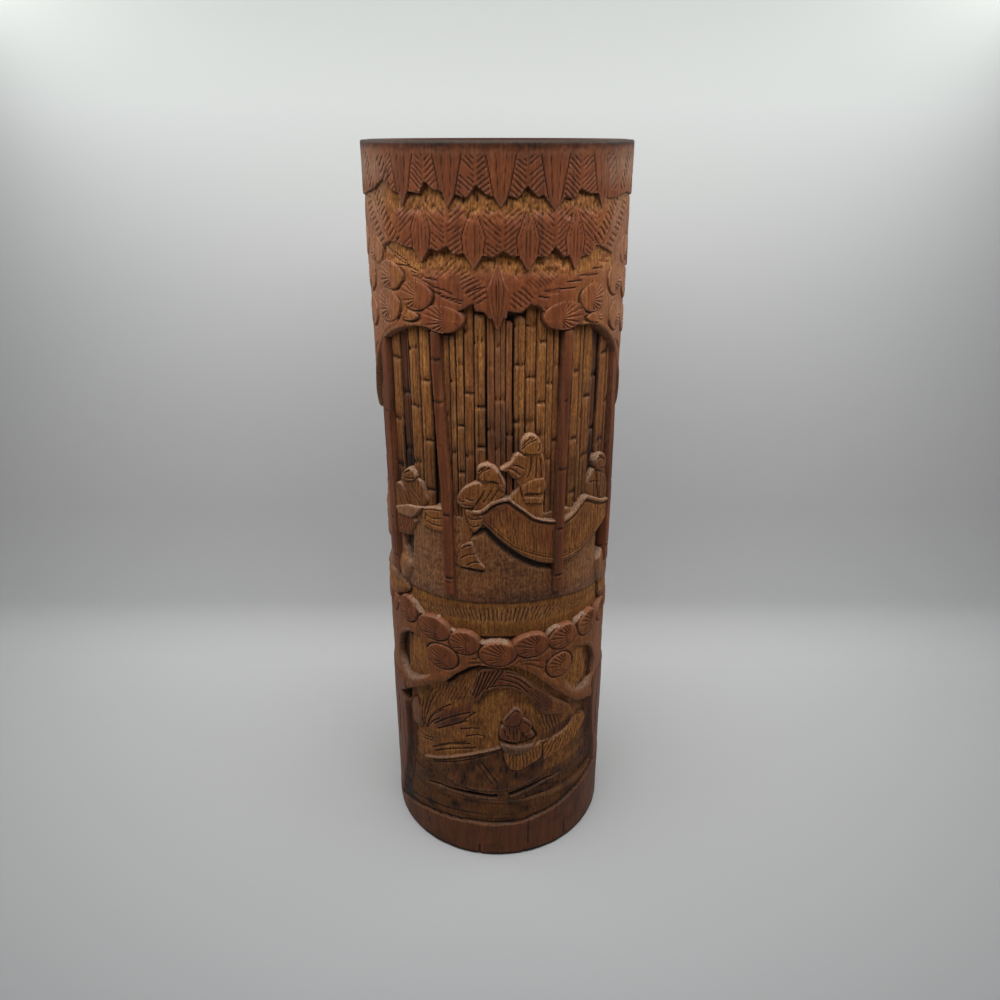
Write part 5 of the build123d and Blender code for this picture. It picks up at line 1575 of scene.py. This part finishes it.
# Side pillars: skin left standing beside the river, with a slanted wall towards it painted dark as painted
# shade, and a hole under the belt.
sidePillars = {"z": (8.0, 84.0), "step": 0.6, "back": 6.2, "wear": 0.15, "dustAndTopLight": 0.03, "wallWidth": 4.4}
pillarEdges = {-1: ([8, 14.3, 33, 50.5, 59.6, 84], [57, 55.5, 48.6, 45, 45.4, 45.4]),
               1: ([8, 27.3, 47, 59.2, 84], [57.5, 55.7, 51.5, 49, 48])}
pillarHoles = {-1: [(53.7, 72.6), (43.9, 79), (43.6, 74.6), (50.4, 69.6)],
               1: [(42, 75.4), (46.6, 75), (47.4, 71.4), (43.6, 71.8)]}
pillarFolds = [[(60, 78), (58, 60), (59.6, 44)], [(67, 80), (68, 60), (66, 40), (67, 22)]]


def carvePillar(side):
    def carve(u, z):
        away = u * side
        inner = np.interp(z, *pillarEdges[side]) + 0.4 * softNoise(u, z, 50, 6, 151)
        wall = np.clip((inner + sidePillars["wallWidth"] - away) / sidePillars["wallWidth"], 0, 1)
        depth = 0.3 + 2.7 * wall + 4 * np.clip(inner - away, 0, None) + 0.15 * softNoise(u, z, 2, 9, 152)
        depth += foldCuts(away, z, pillarFolds, 1.2, 0.6)
        depth += 1.4 * fade(z, 79, 84)
        hole = fade(insideOutline(away, z, pillarHoles[side]), -0.3, 0.6)
        streak = fade(softNoise(u, z, 1.6, 16, 153), -0.2, 0.6)
        # The slanted wall is painted dark: painted shade on the face turned from the light.
        sootAndShade = 0.2 + 0.2 * streak + 0.4 * fade(wall, 0, 0.15) + 0.6 * hole
        return {"depth": depth + 4 * hole, "skin": 0.95, "sootAndShade": sootAndShade, "rubAndHighlight": 0.04 * streak}
    return carve


leftPillar = carvedPatch(dict(sidePillars, u=(-sideArc, -38.0)), carvePillar(-1))
rightPillar = carvedPatch(dict(sidePillars, u=(41.0, sideArc)), carvePillar(1))
finishPiece("sidePillars", [leftPillar, rightPillar], stainedSkin, ["side_pillars"])


# Floor disc: turned softwood, plain and matt, with faint rings round its middle.
softwood = {"early": "#a5763f", "late": "#7c5227", "ringPitch": 2.4, "ringSway": 2.5, "ringDetail": 2.0,
            "roughness": 0.7}
turnedSoftwood = newMaterial("turnedSoftwood")
woodTree = turnedSoftwood.node_tree
woodPlace = addNode(woodTree, "ShaderNodeTexCoord").outputs["Object"]
waveScale = 0.05 / (softwood["ringPitch"] * mm)
rings = addNode(woodTree, "ShaderNodeTexWave", {"Vector": woodPlace, "Scale": waveScale,
                "Distortion": softwood["ringSway"], "Detail": softwood["ringDetail"]},
                wave_type="RINGS", rings_direction="Z")
ringColour = addNode(woodTree, "ShaderNodeMix", {"Factor": rings.outputs["Fac"],
                     "A": linear(softwood["early"]), "B": linear(softwood["late"])}, data_type="RGBA")
woodShader = addNode(woodTree, "ShaderNodeBsdfPrincipled", {"Base Color": ringColour.outputs["Result"],
                     "Roughness": softwood["roughness"]})
addNode(woodTree, "ShaderNodeOutputMaterial", {"Surface": woodShader.outputs["BSDF"]})
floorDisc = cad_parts["floor_disc"]
floorDisc.data.materials.clear()
floorDisc.data.materials.append(turnedSoftwood)


def seenRays(tree):  # what the eye sees, directly or in a reflection
    paths = addNode(tree, "ShaderNodeLightPath").outputs
    mirrored = addNode(tree, "ShaderNodeMath", {0: paths["Is Glossy Ray"], 1: paths["Is Transmission Ray"]},
                       operation="MAXIMUM").outputs[0]
    return addNode(tree, "ShaderNodeMath", {0: paths["Is Camera Ray"], 1: mirrored},
                   operation="MAXIMUM").outputs[0]


# Stage: a pale paper sweep that turns up into a wall close behind the vase.
# The paper's tones are graded along it, darkest at the front and palest at the wall's foot: painted shade and
# light.
stage = {
    "wallAway": 0.125,
    "bend": 0.03,
    "bendSteps": 12,
    "half": 2.5,
    "front": -2.5,
    "wallTop": 2.0,
    "paintedShades": [(-0.12, "#a9aaab"), (-0.02, "#c1c2c2"), (0.08, "#d7d8d8"), (0.155, "#dfe0e0"),
               (0.22, "#cdcdce"), (0.35, "#c2c3c3"), (0.44, "#bfc2c0"), (0.48, "#b3b6b3")],
    "roughness": 0.9,
    "gloss": 0.2,
    "farTone": "#b3b5b6",
    "farFrom": 0.34,
    "farTo": 0.52,
}
profile = [(stage["front"], 0.0)]
for step in range(stage["bendSteps"] + 1):
    turn = math.pi / 2 * step / stage["bendSteps"]
    profile.append((stage["wallAway"] - stage["bend"] + stage["bend"] * math.sin(turn),
                    stage["bend"] * (1 - math.cos(turn))))
profile.append((stage["wallAway"], stage["wallTop"]))
bpy.ops.mesh.primitive_grid_add(x_subdivisions=1, y_subdivisions=len(profile) - 1, size=2)
sweep = bpy.context.object
sweep.name = "paperSweep"
for vertex in sweep.data.vertices:
    away, up = profile[round((vertex.co.y + 1) / 2 * (len(profile) - 1))]
    vertex.co = (vertex.co.x * stage["half"], away, up)
bpy.ops.object.shade_smooth_by_angle(angle=math.radians(30))
mattPaper = newMaterial("mattPaper")
paperTree = mattPaper.node_tree
paperPlace = addNode(paperTree, "ShaderNodeTexCoord").outputs["Object"]
paperAxes = addNode(paperTree, "ShaderNodeSeparateXYZ", {"Vector": paperPlace})
paperAlong = addNode(paperTree, "ShaderNodeMath", {0: paperAxes.outputs["Y"], 1: paperAxes.outputs["Z"]})
firstAlong = stage["paintedShades"][0][0]
lastAlong = stage["paintedShades"][-1][0]
paperShare = addNode(paperTree, "ShaderNodeMapRange", {"Value": paperAlong.outputs[0], "From Min": firstAlong,
                     "From Max": lastAlong})
paperRamp = addNode(paperTree, "ShaderNodeValToRGB", {"Fac": paperShare.outputs["Result"]})
stops = paperRamp.color_ramp.elements
while len(stops) < len(stage["paintedShades"]):
    stops.new(0.5)
for stop, (along, shade) in zip(stops, stage["paintedShades"]):
    stop.position = (along - firstAlong) / (lastAlong - firstAlong)
    stop.color = linear(shade)
paperShader = addNode(paperTree, "ShaderNodeBsdfPrincipled", {"Base Color": paperRamp.outputs["Color"],
                      "Roughness": stage["roughness"], "Specular IOR Level": stage["gloss"]})
# Far from the piece the paper keeps one pale tone for the eye, and its wall is clear when looked at from
# behind.
sight = seenRays(paperTree)
flat = addNode(paperTree, "ShaderNodeVectorMath", {0: paperPlace, 1: (1, 1, 0)},
               operation="MULTIPLY").outputs["Vector"]
reach = addNode(paperTree, "ShaderNodeVectorMath", {0: flat}, operation="LENGTH").outputs["Value"]
farShare = addNode(paperTree, "ShaderNodeMapRange", {"Value": reach, "From Min": stage["farFrom"],
                   "From Max": stage["farTo"]}).outputs["Result"]
farSeen = addNode(paperTree, "ShaderNodeMath", {0: farShare, 1: sight}, operation="MULTIPLY").outputs[0]
farPaper = addNode(paperTree, "ShaderNodeEmission", {"Color": linear(stage["farTone"])}).outputs["Emission"]
wholePaper = addNode(paperTree, "ShaderNodeMixShader", {0: farSeen, 1: paperShader.outputs["BSDF"],
                     2: farPaper}).outputs[0]
behind = addNode(paperTree, "ShaderNodeNewGeometry").outputs["Backfacing"]
seenThrough = addNode(paperTree, "ShaderNodeMath", {0: behind, 1: sight}, operation="MULTIPLY").outputs[0]
clear = addNode(paperTree, "ShaderNodeBsdfTransparent").outputs["BSDF"]
oneSided = addNode(paperTree, "ShaderNodeMixShader", {0: seenThrough, 1: wholePaper, 2: clear}).outputs[0]
addNode(paperTree, "ShaderNodeOutputMaterial", {"Surface": oneSided})
sweep.data.materials.append(mattPaper)

# The floor goes on behind the wall, where only views from the back see it.
bpy.ops.mesh.primitive_plane_add(size=2)
backFloor = bpy.context.object
backFloor.name = "backFloor"
for vertex in backFloor.data.vertices:
    ahead = stage["wallAway"] - stage["bend"] if vertex.co.y < 0 else stage["half"]
    vertex.co = (vertex.co.x * stage["half"], ahead, 0)
palePaper = newMaterial("palePaper")
paleTree = palePaper.node_tree
paleMatt = addNode(paleTree, "ShaderNodeBsdfDiffuse", {"Color": linear(stage["farTone"])}).outputs["BSDF"]
paleTone = addNode(paleTree, "ShaderNodeEmission", {"Color": linear(stage["farTone"])}).outputs["Emission"]
paleMix = addNode(paleTree, "ShaderNodeMixShader", {0: seenRays(paleTree), 1: paleMatt, 2: paleTone})
addNode(paleTree, "ShaderNodeOutputMaterial", {"Surface": paleMix.outputs[0]})
backFloor.data.materials.append(palePaper)

# Soft light: one panel overhead, a strip along each top side, and dim surroundings.
lights = {
    "overheadPanel": {"place": (0.0, -0.11, 0.47), "aim": (0.0, -0.05, 0.0), "size": (0.40, 0.26),
                      "energy": 1.65},
    "leftStrip": {"place": (-0.24, -0.02, 0.40), "aim": (0.0, 0.0, 0.28), "size": (0.30, 0.08),
                  "energy": 0.40},
    "rightStrip": {"place": (0.24, -0.02, 0.40), "aim": (0.0, 0.0, 0.28), "size": (0.30, 0.08),
                   "energy": 0.40},
}
around = {"tint": "#f4f6f8", "strength": 0.11, "seen": 0.5}
for name, lamp in lights.items():
    bpy.ops.object.light_add(type="AREA", location=lamp["place"])
    panel = bpy.context.object
    panel.name = name
    panel.rotation_euler = (Vector(lamp["aim"]) - Vector(lamp["place"])).to_track_quat("-Z", "Y").to_euler()
    panel.data.shape = "RECTANGLE"
    panel.data.size, panel.data.size_y = lamp["size"]
    panel.data.energy = lamp["energy"]
world = bpy.context.scene.world or bpy.data.worlds.new("studio")
bpy.context.scene.world = world
world.use_nodes = True
background = world.node_tree.nodes["Background"]
background.inputs["Color"].default_value = linear(around["tint"])
worldTree = world.node_tree
worldStrength = addNode(worldTree, "ShaderNodeMapRange", {"Value": seenRays(worldTree),
                        "To Min": around["strength"], "To Max": around["seen"]}).outputs["Result"]
worldTree.links.new(worldStrength, background.inputs["Strength"])

view = {"place": (0.001, -0.3225, 0.3028), "tilt": 24.4, "lens": 29.34, "sensor": 36, "near": 0.01}
camera = bpy.data.objects.new("camera", bpy.data.cameras.new("camera"))
bpy.context.scene.collection.objects.link(camera)
camera.location = view["place"]
camera.rotation_euler = (math.radians(90 - view["tilt"]), 0, 0)
camera.data.lens = view["lens"]
camera.data.sensor_width = view["sensor"]
camera.data.clip_start = view["near"]
bpy.context.scene.camera = camera
bpy.context.scene.view_settings.view_transform = "Standard"
print("stage set")
